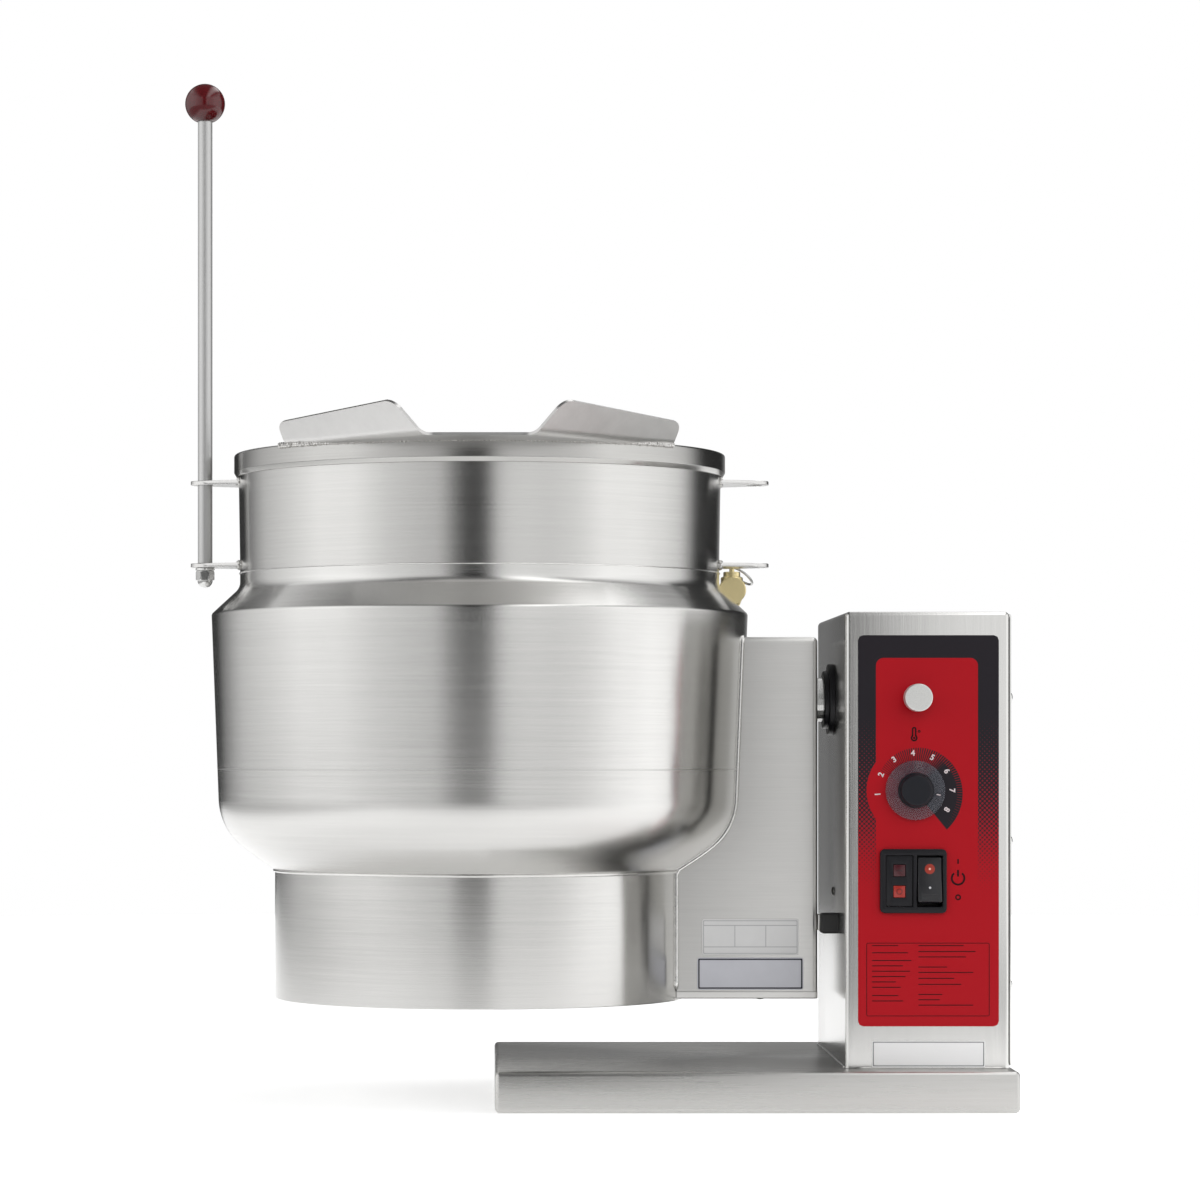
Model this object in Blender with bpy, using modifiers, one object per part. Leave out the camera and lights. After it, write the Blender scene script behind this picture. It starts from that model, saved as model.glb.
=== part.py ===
"""A tilting steam jacketed kettle on a console: a counter top model with electric heating.

Metres, +Z up. The origin is the middle of the base's underside. The kettle is at -X,
the console at +X, and the pouring lip points to -Y, where the cook stands.
"""

import math

import bmesh
import bpy
from mathutils import Matrix, Vector

# Fits, cutters and facets
FIT_GAP = 0.0003
TURN_GAP = 0.0005
OVERRUN = 0.010
MERGE = 0.00001
KETTLE_STEPS = 48
ROUND_STEPS = 24
SMALL_STEPS = 16
BEND_SEGMENTS = 2
ARC_POINTS = 6
KNUCKLE_POINTS = 4
CROWN_POINTS = 4

# Base tray, and the hat channel under it
BASE_WIDTH = 0.438
BASE_DEPTH = 0.348
BASE_HEIGHT = 0.0346
BASE_SHEET = 0.002
BASE_BEND = 0.004
BASE_FLANGE = 0.020
CROSS_WIDTH = 0.090
CROSS_BRIM = 0.020
CROSS_SHEET = 0.003

# Console, its side cover and the cover's screws
CONSOLE_WIDTH = 0.1397
CONSOLE_DEPTH = 0.283
CONSOLE_ABOVE_TILT = 0.0725
CONSOLE_INSET = 0.0036
CONSOLE_SHEET = 0.0015
CONSOLE_BEND = 0.004
CONSOLE_BRIM = 0.014
COVER_SHEET = 0.0012
COVER_MARGIN = 0.002
SIDE_SCREW_RADIUS = 0.0042
SIDE_SCREW_HEIGHT = 0.0021
SIDE_SCREW_INSET = 0.009
SIDE_SCREW_PITCH = 0.121
SIDE_SCREW_TOP = 0.072
SIDE_SCREW_COUNT = 3

# The tilting axis: how far ahead of the kettle's own axis, and how high the skirt hangs over the tray
TILT_AHEAD = 0.018
SKIRT_CLEARANCE = 0.0521

# Kettle liner and rim bar; depths are measured down from the rim's top
KETTLE_REACH = 0.3077
RIM_ABOVE_TILT = 0.2133
RIM_RADIUS = 0.2146
RIM_BAR_HEIGHT = 0.0155
RIM_CHAMFER = 0.006
RIM_ROUND = 0.002
NECK_RADIUS = 0.2107
LINER_SHEET = 0.002

# Jacket and skirt
JACKET_RADIUS = 0.2343
JACKET_TAPER = 0.006
JACKET_SHEET = 0.0025
JACKET_SPACE = 0.0195
SHOULDER_DEPTH = 0.1147
SHOULDER_DROP = 0.024
KNUCKLE_DEPTH = 0.2977
KNUCKLE_RADIUS = 0.056
CROWN_RADIUS = 0.335
SKIRT_RADIUS = 0.179
SKIRT_SHEET = 0.0015
SKIRT_DEPTH = 0.473
SKIRT_COVER_RECESS = 0.003
SKIRT_COVER_FLANGE = 0.012

# Pouring lip: a flat blank folded up along one slanted line on each side
LIP_SHEET = 0.0025
LIP_PROJECTION = 0.052
LIP_HALF_WIDTH = 0.040
LIP_HALF_SPAN = 0.158
LIP_BEND = 0.010
LIP_FOLD = math.radians(57)
LIP_FRONT_HEIGHT = 0.0365
LIP_END_HEIGHT = 0.0267
LIP_FRONT_SLANT = 0.017
LIP_END_SLANT = 0.004
LIP_CORNER = 0.009
LIP_FLOOR_COLUMNS = 4
LIP_WING_COLUMNS = 9
LIP_ROWS = 12

# Handle ears, and the rod that stands in the left pair
EAR_SHEET = 0.0035
EAR_REACH = 0.2405
EAR_TIP_RADIUS = 0.0125
EAR_BASE_WIDTH = 0.058
UPPER_EAR_DROP = 0.0005
EAR_SPACING = 0.072
ROD_RADIUS = 0.00635
ROD_TENON_RADIUS = 0.0047
ROD_ABOVE_RIM = 0.3053
BALL_RADIUS = 0.01745
BALL_SOCKET_DEPTH = 0.012
BALL_FLAT = 0.0155
WASHER_RADIUS = 0.0083
WASHER_HEIGHT = 0.0024
NUT_RADIUS = 0.0082
NUT_HEX_HEIGHT = 0.0085
NUT_DOME_RADIUS = 0.0066
NUT_DOME_HEIGHT = 0.0065
NUT_TENON = 0.009
NUT_SIDES = 6

# Box arm between kettle and console
ARM_GAP = 0.0167
ARM_DEPTH = 0.116
ARM_RISE = 0.0536
ARM_SHEET = 0.002
ARM_BEND = 0.0045
ARM_COVER_HEIGHT = 0.0059
ARM_COVER_LIFT = 0.0017
STOP_LUG_LENGTH = 0.009
STOP_LUG_DEPTH = 0.015
STOP_LUG_HEIGHT = 0.014

# Two bare label plates on the arm's front
LABEL_SHEET = 0.0006
UPPER_LABEL_WIDTH = 0.0835
UPPER_LABEL_HEIGHT = 0.031
LOWER_LABEL_WIDTH = 0.0915
LOWER_LABEL_HEIGHT = 0.0277
LABEL_RADIUS = 0.002
LABEL_RIGHT_INSET = 0.012
LABEL_SPACING = 0.0022
LABEL_LIFT = 0.0015

# Trunnion: bracket in the arm, shaft, and what is on the shaft
BRACKET_PLATE = 0.008
BRACKET_WIDTH = 0.070
BRACKET_HEIGHT = 0.084
SHAFT_RADIUS = 0.019
SHAFT_BORE = 0.012
SHAFT_FLANGE_RADIUS = 0.026
SHAFT_FLANGE = 0.006
SHAFT_END_INSET = 0.006
LOCK_COLLAR_RADIUS = 0.030
LOCK_COLLAR_WIDTH = 0.024
LOCK_HOLE_DEPTH = 0.009
END_COLLAR_RADIUS = 0.027
END_COLLAR_WIDTH = 0.010

# Bearing frame in the console, with its bushes and the flange outside
FRAME_PLATE = 0.006
FRAME_LEFT_GAP = 0.006
FRAME_WIDTH = 0.104
FRAME_DEPTH = 0.100
FRAME_RISE = 0.045
BUSH_RADIUS = 0.024
BUSH_FLANGE_RADIUS = 0.028
BUSH_FLANGE = 0.003
BEARING_RADIUS = 0.031
BEARING_PLATE = 0.0045
BEARING_STEP_RADIUS = 0.025
BEARING_STEP = 0.0042
BEARING_SPIGOT_RADIUS = 0.0215

# Rubber stop on the console's side
BUMPER_HEIGHT = 0.0175
BUMPER_DEPTH = 0.018
BUMPER_LENGTH = 0.0151
BUMPER_ROUND = 0.0025
BUMPER_ABOVE_ARM = 0.0595

# Control overlay and name plate on the console's front
OVERLAY_SHEET = 0.0005
OVERLAY_WIDTH = 0.1183
OVERLAY_HEIGHT = 0.3288
OVERLAY_RADIUS = 0.0042
OVERLAY_TOP = 0.0198
NAME_PLATE_WIDTH = 0.0952
NAME_PLATE_HEIGHT = 0.0224
NAME_PLATE_SHEET = 0.0008
NAME_PLATE_RADIUS = 0.0015
NAME_PLATE_DROP = 0.012

# Latch: knob, rod, bush and spring, in line with the lock collar
LATCH_LEFT_SHARE = 0.4255
LATCH_KNOB_RADIUS = 0.0116
LATCH_KNOB_LENGTH = 0.016
LATCH_KNOB_ROUND = 0.0015
LATCH_STAND_OFF = 0.008
LATCH_ROD_RADIUS = 0.005
LATCH_SHOULDER_RADIUS = 0.0085
LATCH_SHOULDER = 0.003
LATCH_BUSH_RADIUS = 0.0080
LATCH_BUSH_FLANGE_RADIUS = 0.0105
LATCH_BUSH_FLANGE = 0.0025
LATCH_BUSH_LENGTH = 0.020
LATCH_TIP_CLEARANCE = 0.0008
SPRING_LENGTH = 0.030
SPRING_COIL_RADIUS = 0.0068
SPRING_WIRE_RADIUS = 0.0006
SPRING_TURNS = 6
SPRING_POINTS_PER_TURN = 8

# Thermostat and its knob
DIAL_LEFT_SHARE = 0.418
DIAL_BELOW_TILT = 0.0777
THERMOSTAT_WIDTH = 0.044
THERMOSTAT_DEPTH = 0.030
THERMOSTAT_BUSH_RADIUS = 0.0055
THERMOSTAT_BUSH_LENGTH = 0.0035
DIAL_STEM_RADIUS = 0.003
DIAL_STEM_LENGTH = 0.009
DIAL_SKIRT_RADIUS = 0.0251
DIAL_SKIRT_NECK = 0.0150
DIAL_SKIRT_EDGE = 0.0014
DIAL_SKIRT_HEIGHT = 0.0060
DIAL_SKIRT_SHEET = 0.0012
DIAL_CAP_RADIUS = 0.0138
DIAL_CAP_TIP_RADIUS = 0.0128
DIAL_CAP_HEIGHT = 0.0135
DIAL_CAP_ROUND = 0.0010
DIAL_LIFT = 0.0012

# Double switch: bezel, indicator half and rocker half
BEZEL_WIDTH = 0.0560
BEZEL_HEIGHT = 0.0538
BEZEL_PLATE = 0.0040
BEZEL_RADIUS = 0.0035
BEZEL_RIGHT_SHIFT = 0.0130
BEZEL_BELOW_DIAL = 0.0762
WINDOW_HEIGHT = 0.0432
INDICATOR_WIDTH = 0.0230
INDICATOR_INSET = 0.0048
INDICATOR_DEPTH = 0.016
INDICATOR_RECESS = 0.0012
ROCKER_WINDOW_WIDTH = 0.0215
ROCKER_WINDOW_INSET = 0.0035
SWITCH_DEPTH = 0.024
SWITCH_WALL = 0.0012
LENS_SIDE = 0.0098
LENS_THICKNESS = 0.0030
LENS_SPACING = 0.0177
ROCKER_HALF_HEIGHT = 0.0190
ROCKER_SIDE_GAP = 0.0006
ROCKER_END_DEPTH = 0.0098
ROCKER_MIDDLE_DEPTH = 0.0080
ROCKER_BACK_DEPTH = 0.0045
ROCKER_PIVOT_BEHIND = 0.0040
ROCKER_SWING = math.radians(16)

# Electrical parts on a panel inside the console
PANEL_SHEET = 0.0015
PANEL_WIDTH = 0.120
PANEL_HEIGHT = 0.250
PANEL_FOOT = 0.025
PANEL_BEHIND = 0.062
CONTACTOR_WIDTH = 0.045
CONTACTOR_HEIGHT = 0.075
CONTACTOR_DEPTH = 0.050
TERMINAL_WIDTH = 0.060
TERMINAL_HEIGHT = 0.026
TERMINAL_DEPTH = 0.022
TERMINAL_RIBS = 3
TERMINAL_SLOT = 0.011
TRANSFORMER_WIDTH = 0.050
TRANSFORMER_HEIGHT = 0.042
TRANSFORMER_DEPTH = 0.036
PANEL_ITEM_SPACING = 0.020
PANEL_FIRST_ITEM = 0.050
CONDUIT_RADIUS = 0.0140
CONDUIT_BORE = 0.0105
CONDUIT_FLANGE_RADIUS = 0.0185
CONDUIT_FLANGE = 0.004
CONDUIT_SPIGOT = 0.010
CONDUIT_HEIGHT = 0.045

# Heating and low water probe, in and under the jacket
HEATER_RADIUS = 0.105
HEATER_TUBE = 0.0050
HEATER_SWEEP = math.radians(300)
HEATER_LEG = 0.040
HEATER_POINTS = 20
PROBE_RADIUS = 0.0035
PROBE_HEAD_RADIUS = 0.0095
PROBE_HEAD = 0.014
PROBE_OUT = 0.045
PROBE_LENGTH = 0.016

# Relief valve with its pull ring, and the fill plug
VALVE_AXIS_RADIUS = 0.2275
VALVE_BEHIND = 0.043
VALVE_RADIUS = 0.0120
VALVE_BODY_TOP = 0.0230
VALVE_BODY_BOTTOM = 0.0110
VALVE_NECK_RADIUS = 0.0075
VALVE_NECK = 0.0045
VALVE_STEM_RADIUS = 0.0022
VALVE_STEM = 0.0065
VALVE_ROUND = 0.0045
RING_RADIUS = 0.0112
RING_WIRE = 0.0011
RING_SLOPE = math.radians(38)
RING_POINTS = 18
PLUG_RADIUS = 0.010
PLUG_HEIGHT = 0.008
PLUG_BOSS_RADIUS = 0.013
PLUG_BOSS_HEIGHT = 0.006

# Places that follow from the sizes above
CONSOLE_RIGHT = BASE_WIDTH / 2 - CONSOLE_INSET
CONSOLE_LEFT = CONSOLE_RIGHT - CONSOLE_WIDTH
CONSOLE_FLOOR = BASE_HEIGHT + FIT_GAP
CONSOLE_FRONT = -CONSOLE_DEPTH / 2
SHELL_RIGHT = CONSOLE_RIGHT - COVER_SHEET - FIT_GAP
KETTLE_X = CONSOLE_LEFT - KETTLE_REACH
TILT_Y = -TILT_AHEAD
TILT_HEIGHT = BASE_HEIGHT + SKIRT_CLEARANCE + SKIRT_DEPTH - RIM_ABOVE_TILT
CONSOLE_TOP = TILT_HEIGHT + CONSOLE_ABOVE_TILT
CONSOLE_HEIGHT = CONSOLE_TOP - CONSOLE_FLOOR
RIM_TOP = TILT_HEIGHT + RIM_ABOVE_TILT
LINER_TOP = RIM_TOP - RIM_BAR_HEIGHT - FIT_GAP
SHOULDER_TOP = RIM_TOP - SHOULDER_DEPTH
KNUCKLE_HEIGHT = RIM_TOP - KNUCKLE_DEPTH
JACKET_BASE_RADIUS = JACKET_RADIUS - JACKET_TAPER
LINER_OFFSET = JACKET_SHEET + JACKET_SPACE
LINER_BASE_RADIUS = JACKET_BASE_RADIUS - LINER_OFFSET
SKIRT_BOTTOM = RIM_TOP - SKIRT_DEPTH
ARM_RIGHT = CONSOLE_LEFT - ARM_GAP
ARM_TOP = TILT_HEIGHT + ARM_RISE
ARM_COVER_BOTTOM = SKIRT_BOTTOM + ARM_COVER_LIFT
ARM_BOTTOM = ARM_COVER_BOTTOM + ARM_COVER_HEIGHT + FIT_GAP
LIP_FLOOR = RIM_TOP + FIT_GAP
UPPER_EAR_TOP = LINER_TOP - RIM_CHAMFER - UPPER_EAR_DROP + FIT_GAP
LOWER_EAR_TOP = UPPER_EAR_TOP - EAR_SPACING
FRAME_LEFT = CONSOLE_LEFT + CONSOLE_SHEET + FRAME_LEFT_GAP
FRAME_RIGHT = FRAME_LEFT + FRAME_WIDTH
LATCH_X = CONSOLE_LEFT + LATCH_LEFT_SHARE * CONSOLE_WIDTH
PANEL_FACE = CONSOLE_FRONT - FIT_GAP - OVERLAY_SHEET
DIAL_X = CONSOLE_LEFT + DIAL_LEFT_SHARE * CONSOLE_WIDTH
DIAL_HEIGHT = TILT_HEIGHT - DIAL_BELOW_TILT
BEZEL_X = CONSOLE_LEFT + CONSOLE_WIDTH / 2 - BEZEL_RIGHT_SHIFT
BEZEL_Z = DIAL_HEIGHT - BEZEL_BELOW_DIAL
OVERLAY_MIDDLE = CONSOLE_TOP - OVERLAY_TOP - OVERLAY_HEIGHT / 2

# Which way a turned piece's own axis points
UP = (0, 0, 0)
TO_RIGHT = (0, math.pi / 2, 0)
TO_FRONT = (math.pi / 2, 0, 0)
TO_REAR = (-math.pi / 2, 0, 0)
TO_LEFT = (0, -math.pi / 2, 0)

# A drawn outline whose own X runs to the rear and whose own Y runs up
ALONG_X = (math.pi / 2, 0, math.pi / 2)

# Finishes: colour, roughness, metallic, alpha
FINISHES = {
    "brushed_steel": ((0.62, 0.61, 0.60), 0.32, 1.0, 1.0),
    "bright_steel": ((0.72, 0.72, 0.71), 0.18, 1.0, 1.0),
    "zinc_steel": ((0.55, 0.55, 0.53), 0.45, 1.0, 1.0),
    "painted_steel": ((0.20, 0.20, 0.21), 0.50, 0.0, 1.0),
    "brass": ((0.80, 0.68, 0.40), 0.30, 1.0, 1.0),
    "bronze": ((0.62, 0.42, 0.22), 0.40, 1.0, 1.0),
    "rubber": ((0.03, 0.03, 0.03), 0.80, 0.0, 1.0),
    "black_plastic": ((0.03, 0.03, 0.035), 0.35, 0.0, 1.0),
    "smoky_plastic": ((0.25, 0.25, 0.28), 0.20, 0.0, 0.5),
    "red_overlay": ((0.42, 0.02, 0.03), 0.40, 0.0, 1.0),
    "red_ball": ((0.20, 0.01, 0.015), 0.15, 0.0, 1.0),
    "dark_lens": ((0.10, 0.02, 0.02), 0.25, 0.0, 1.0),
    "orange_lens": ((0.80, 0.18, 0.05), 0.25, 0.0, 1.0),
    "aluminium": ((0.75, 0.75, 0.74), 0.30, 1.0, 1.0),
    "white_plastic": ((0.80, 0.80, 0.76), 0.50, 0.0, 1.0),
    "bare_label": ((0.78, 0.78, 0.78), 0.45, 0.0, 1.0),
}


def finish(name):
    """The material of that finish, made the first time it is asked for."""
    made = bpy.data.materials.get(name)
    if made:
        return made
    colour, roughness, metallic, alpha = FINISHES[name]
    made = bpy.data.materials.new(name)
    made.use_nodes = True
    shader = made.node_tree.nodes["Principled BSDF"]
    shader.inputs["Base Color"].default_value = (*colour, 1)
    shader.inputs["Roughness"].default_value = roughness
    shader.inputs["Metallic"].default_value = metallic
    shader.inputs["Alpha"].default_value = alpha
    return made


def place(name, data, look, location=(0, 0, 0), rotation=UP):
    """A new object in the kettle's collection, or a wire frame cutter where it has no finish."""
    made = bpy.data.objects.new(name, data)
    made.location = location
    made.rotation_euler = rotation
    if look:
        data.materials.append(finish(look))
        KETTLE.objects.link(made)
        return made
    CUTTERS.objects.link(made)
    made.hide_render = True
    made.display_type = "WIRE"
    return made


def box(name, low, high, look, bend=0.0, open_sides=(), brims=None, wall=0.0):
    """A box from corner to corner. Its edges are bent round, sides in open_sides are left out,
    sides in brims keep only a border, and a wall makes it a shell that lies inside the corners."""
    low, high = Vector(low), Vector(high)
    work = bmesh.new()
    bmesh.ops.create_cube(work, size=1.0)
    bmesh.ops.scale(work, vec=high - low, verts=work.verts)
    bmesh.ops.translate(work, vec=(low + high) / 2, verts=work.verts)

    def side(face):
        axis = max(range(3), key=lambda number: abs(face.normal[number]))
        return ("-" if face.normal[axis] < 0 else "+") + "XYZ"[axis]

    work.normal_update()
    if bend:
        bent = [edge for edge in work.edges if not {side(face) for face in edge.link_faces} & set(open_sides)]
        bmesh.ops.bevel(work, geom=bent, offset=bend, segments=BEND_SEGMENTS, profile=0.5, affect="EDGES")
        work.normal_update()
    by_area = sorted(work.faces, key=lambda face: -face.calc_area())
    largest = {}
    for face in by_area:
        largest.setdefault(side(face), face)
    gone = [largest[which] for which in open_sides]
    for which, width in (brims or {}).items():
        bmesh.ops.inset_region(work, faces=[largest[which]], thickness=width, use_even_offset=True)
        gone.append(largest[which])
    bmesh.ops.delete(work, geom=gone, context="FACES")
    mesh = bpy.data.meshes.new(name)
    work.to_mesh(mesh)
    work.free()
    made = place(name, mesh, look)
    if wall:
        thicken(made, wall)
    return made


def thicken(piece, wall, outward=False):
    """Gives a surface a wall on its inner side, or on its outer side."""
    shell = piece.modifiers.new("Wall", "SOLIDIFY")
    shell.thickness = wall
    shell.offset = 1 if outward else -1
    shell.use_even_offset = True
    shell.use_quality_normals = True


def turned(name, outline, look, steps, location=(0, 0, 0), rotation=UP, ring=False, wall=0.0):
    """A turned piece. Its outline is pairs of radius and height that run down the outer side;
    a ring's outline comes back up its inner side, and any other ends on the axis or is open."""
    mesh = bpy.data.meshes.new(name)
    links = [(number, number + 1) for number in range(len(outline) - 1)]
    if ring:
        links.append((len(outline) - 1, 0))
    mesh.from_pydata([(radius, 0, height) for radius, height in outline], links, [])
    made = place(name, mesh, look, location, rotation)
    screw = made.modifiers.new("Turn", "SCREW")
    screw.steps = screw.render_steps = steps
    screw.use_merge_vertices = True
    screw.merge_threshold = MERGE
    screw.use_smooth_shade = True
    if wall:
        thicken(made, wall)
    return made


def bar(name, radius, start, end, look, steps, location, rotation, bore=0.0):
    """A plain round bar or tube from start to end along its own axis."""
    if bore:
        outline = [(radius, end), (radius, start), (bore, start), (bore, end)]
    else:
        outline = [(0, end), (radius, end), (radius, start), (0, start)]
    return turned(name, outline, look, steps, location, rotation, ring=bool(bore))


def flat(name, outlines, thickness, look, location, rotation=UP):
    """A flat plate with its middle plane at the location. Outlines after the first are holes."""
    curve = bpy.data.curves.new(name, "CURVE")
    curve.dimensions = "2D"
    curve.fill_mode = "BOTH"
    curve.extrude = thickness / 2
    for outline in outlines:
        spline = curve.splines.new("POLY")
        spline.points.add(len(outline) - 1)
        for point, (across, along) in zip(spline.points, outline):
            point.co = (across, along, 0, 1)
        spline.use_cyclic_u = True
    return place(name, curve, look, location, rotation)


def prism(name, outline, height, look, location=(0, 0, 0), rotation=UP):
    """A solid of that outline, as high as given, standing on the location."""
    work = bmesh.new()
    corners = [work.verts.new((across, along, 0)) for across, along in outline]
    base = work.faces.new(corners)
    grown = bmesh.ops.extrude_face_region(work, geom=[base])
    raised = [item for item in grown["geom"] if isinstance(item, bmesh.types.BMVert)]
    bmesh.ops.translate(work, vec=(0, 0, height), verts=raised)
    bmesh.ops.recalc_face_normals(work, faces=work.faces)
    mesh = bpy.data.meshes.new(name)
    work.to_mesh(mesh)
    work.free()
    return place(name, mesh, look, location, rotation)


def wire(name, points, radius, look, closed=False, location=(0, 0, 0), rotation=UP):
    """A round wire or tube bent along the points."""
    curve = bpy.data.curves.new(name, "CURVE")
    curve.dimensions = "3D"
    curve.bevel_depth = radius
    curve.bevel_resolution = 1
    curve.use_fill_caps = not closed
    spline = curve.splines.new("POLY")
    spline.points.add(len(points) - 1)
    for point, where in zip(spline.points, points):
        point.co = (*where, 1)
    spline.use_cyclic_u = closed
    return place(name, curve, look, location, rotation)


def cut(piece, *cutters):
    for cutter in cutters:
        hole = piece.modifiers.new("Cut " + cutter.name, "BOOLEAN")
        hole.operation = "DIFFERENCE"
        hole.object = cutter


def join(piece, *others):
    """Makes the others part of the piece; they stay as hidden helpers."""
    for other in others:
        union = piece.modifiers.new("Join " + other.name, "BOOLEAN")
        union.operation = "UNION"
        union.object = other


def carry(name, pivot, pieces, parent=None):
    """An empty on a joint's axis that carries the pieces of one moving body."""
    axis = bpy.data.objects.new(name, None)
    KETTLE.objects.link(axis)
    axis.location = pivot
    if parent:
        axis.parent = parent
        axis.matrix_parent_inverse = Matrix.Translation(parent.location).inverted()
    for piece in pieces:
        piece.parent = axis
        piece.matrix_parent_inverse = Matrix.Translation(pivot).inverted()
    return axis


def arc(centre, radius, start, end, points=ARC_POINTS):
    """Points on a circle's arc, with both ends."""
    angles = [start + (end - start) * number / points for number in range(points + 1)]
    return [(centre[0] + radius * math.cos(angle), centre[1] + radius * math.sin(angle)) for angle in angles]


def circle(centre, radius, points=ROUND_STEPS):
    return arc(centre, radius, 0, 2 * math.pi * (1 - 1 / points), points - 1)


def rounded(width, height, radius, middle=(0, 0)):
    """A rectangle with round corners about its middle."""
    outline = []
    for number, (across, along) in enumerate(((1, 1), (-1, 1), (-1, -1), (1, -1))):
        centre = (
            middle[0] + across * (width / 2 - radius),
            middle[1] + along * (height / 2 - radius),
        )
        start = number * math.pi / 2
        outline += arc(centre, radius, start, start + math.pi / 2, BEND_SEGMENTS)
    return outline


def dish(radius, knuckle, crown):
    """A dished bottom from the wall to the axis: a tight knuckle arc that runs into a flat crown arc."""
    half_angle = math.asin((radius - knuckle) / (crown - knuckle))
    points = arc((radius - knuckle, KNUCKLE_HEIGHT), knuckle, 0, half_angle - math.pi / 2, KNUCKLE_POINTS)
    middle = KNUCKLE_HEIGHT + (crown - knuckle) * math.cos(half_angle)
    points += arc((0, middle), crown, half_angle - math.pi / 2, -math.pi / 2, CROWN_POINTS)[1:-1]
    return points + [(0, middle - crown)]


def dish_height(radius, wall_radius=JACKET_BASE_RADIUS, knuckle=KNUCKLE_RADIUS, crown=CROWN_RADIUS):
    """Height of a dish's crown at that radius; the jacket's outside unless told otherwise."""
    half_angle = math.asin((wall_radius - knuckle) / (crown - knuckle))
    middle = KNUCKLE_HEIGHT + (crown - knuckle) * math.cos(half_angle)
    return middle - math.sqrt(crown**2 - radius**2)


def liner_radius(height):
    """Outer radius of the liner's wall, which tapers down to its knuckle."""
    share = (LINER_TOP - height) / (LINER_TOP - KNUCKLE_HEIGHT)
    return NECK_RADIUS + (LINER_BASE_RADIUS - NECK_RADIUS) * share


def shoulder_seat():
    """Outer radius of the shoulder where it is welded round the neck."""
    slope = math.atan2(SHOULDER_DROP, JACKET_RADIUS - liner_radius(SHOULDER_TOP))
    return liner_radius(SHOULDER_TOP) + FIT_GAP + JACKET_SHEET * math.sin(slope)


def jacket_outline():
    """The jacket's outer side from the shoulder's top to the middle of the bottom."""
    wall = [(shoulder_seat(), SHOULDER_TOP), (JACKET_RADIUS, SHOULDER_TOP - SHOULDER_DROP)]
    return wall + dish(JACKET_BASE_RADIUS, KNUCKLE_RADIUS, CROWN_RADIUS)


def envelope(name):
    """Cutter of the jacket's and skirt's outside, a fit gap larger, for what is fitted round them."""
    above = [(radius + FIT_GAP, height) for radius, height in jacket_outline() if radius > SKIRT_RADIUS]
    below = SKIRT_BOTTOM - OVERRUN
    outline = [(0, SHOULDER_TOP)] + above
    outline += [(SKIRT_RADIUS + FIT_GAP, dish_height(SKIRT_RADIUS)),
        (SKIRT_RADIUS + FIT_GAP, below), (0, below)]
    return turned(name, outline, None, KETTLE_STEPS, (KETTLE_X, 0, 0))


def base_tray():
    """The low pan that stands on the counter, open below inside its return flange."""
    return box(
        "base_tray",
        (-BASE_WIDTH / 2, -BASE_DEPTH / 2, 0),
        (BASE_WIDTH / 2, BASE_DEPTH / 2, BASE_HEIGHT),
        "brushed_steel",
        bend=BASE_BEND,
        brims={"-Z": BASE_FLANGE},
        wall=BASE_SHEET,
    )


def base_crossmember():
    """Hat channel under the tray that takes the console's load down to the counter."""
    reach = BASE_WIDTH / 2 - BASE_BEND - BASE_FLANGE - FIT_GAP
    top = BASE_HEIGHT - BASE_SHEET - FIT_GAP
    half, brim, sheet = CROSS_WIDTH / 2, CROSS_WIDTH / 2 + CROSS_BRIM, CROSS_SHEET
    outline = [
        (-brim, top), (-brim, top - sheet), (-half, top - sheet), (-half, 0), (half, 0),
        (half, top - sheet), (brim, top - sheet), (brim, top), (half - sheet, top),
        (half - sheet, sheet), (sheet - half, sheet), (sheet - half, top),
    ]
    return prism("base_crossmember", outline, 2 * reach, "zinc_steel", (-reach, 0, 0), ALONG_X)


def console_shell():
    """Front, left side, rear and top of the console in one folded sheet, with a border on the right."""
    shell = box(
        "console_shell",
        (CONSOLE_LEFT, CONSOLE_FRONT, CONSOLE_FLOOR),
        (SHELL_RIGHT, -CONSOLE_FRONT, CONSOLE_TOP),
        "brushed_steel",
        bend=CONSOLE_BEND,
        open_sides=["-Z"],
        brims={"+X": CONSOLE_BRIM},
        wall=CONSOLE_SHEET,
    )
    spigot = bar(
        "spigot_hole", BEARING_SPIGOT_RADIUS + FIT_GAP, -OVERRUN, OVERRUN, None, ROUND_STEPS,
        (CONSOLE_LEFT, TILT_Y, TILT_HEIGHT), TO_RIGHT,
    )
    bush = bar(
        "latch_bush_hole", LATCH_BUSH_RADIUS + FIT_GAP, -OVERRUN, OVERRUN, None, SMALL_STEPS,
        (LATCH_X, CONSOLE_FRONT, TILT_HEIGHT), TO_FRONT,
    )
    dial = bar(
        "thermostat_hole", THERMOSTAT_BUSH_RADIUS + FIT_GAP, -OVERRUN, OVERRUN, None, SMALL_STEPS,
        (DIAL_X, CONSOLE_FRONT, DIAL_HEIGHT), TO_FRONT,
    )
    conduit = bar(
        "conduit_hole", CONDUIT_RADIUS + FIT_GAP, -OVERRUN, OVERRUN, None, ROUND_STEPS,
        conduit_place(), TO_REAR,
    )
    low, high = switch_opening()
    switch = box(
        "switch_hole",
        (low[0], CONSOLE_FRONT - OVERRUN, low[1]),
        (high[0], CONSOLE_FRONT + OVERRUN, high[1]),
        None,
    )
    cut(shell, spigot, bush, dial, conduit, switch)
    return shell


def switch_opening():
    """Left low and right high corner of the panel's opening for the double switch."""
    across = BEZEL_WIDTH / 2 - ROCKER_WINDOW_INSET + SWITCH_WALL + FIT_GAP
    along = WINDOW_HEIGHT / 2 + SWITCH_WALL + FIT_GAP
    return (BEZEL_X - across, BEZEL_Z - along), (BEZEL_X + across, BEZEL_Z + along)


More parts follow.
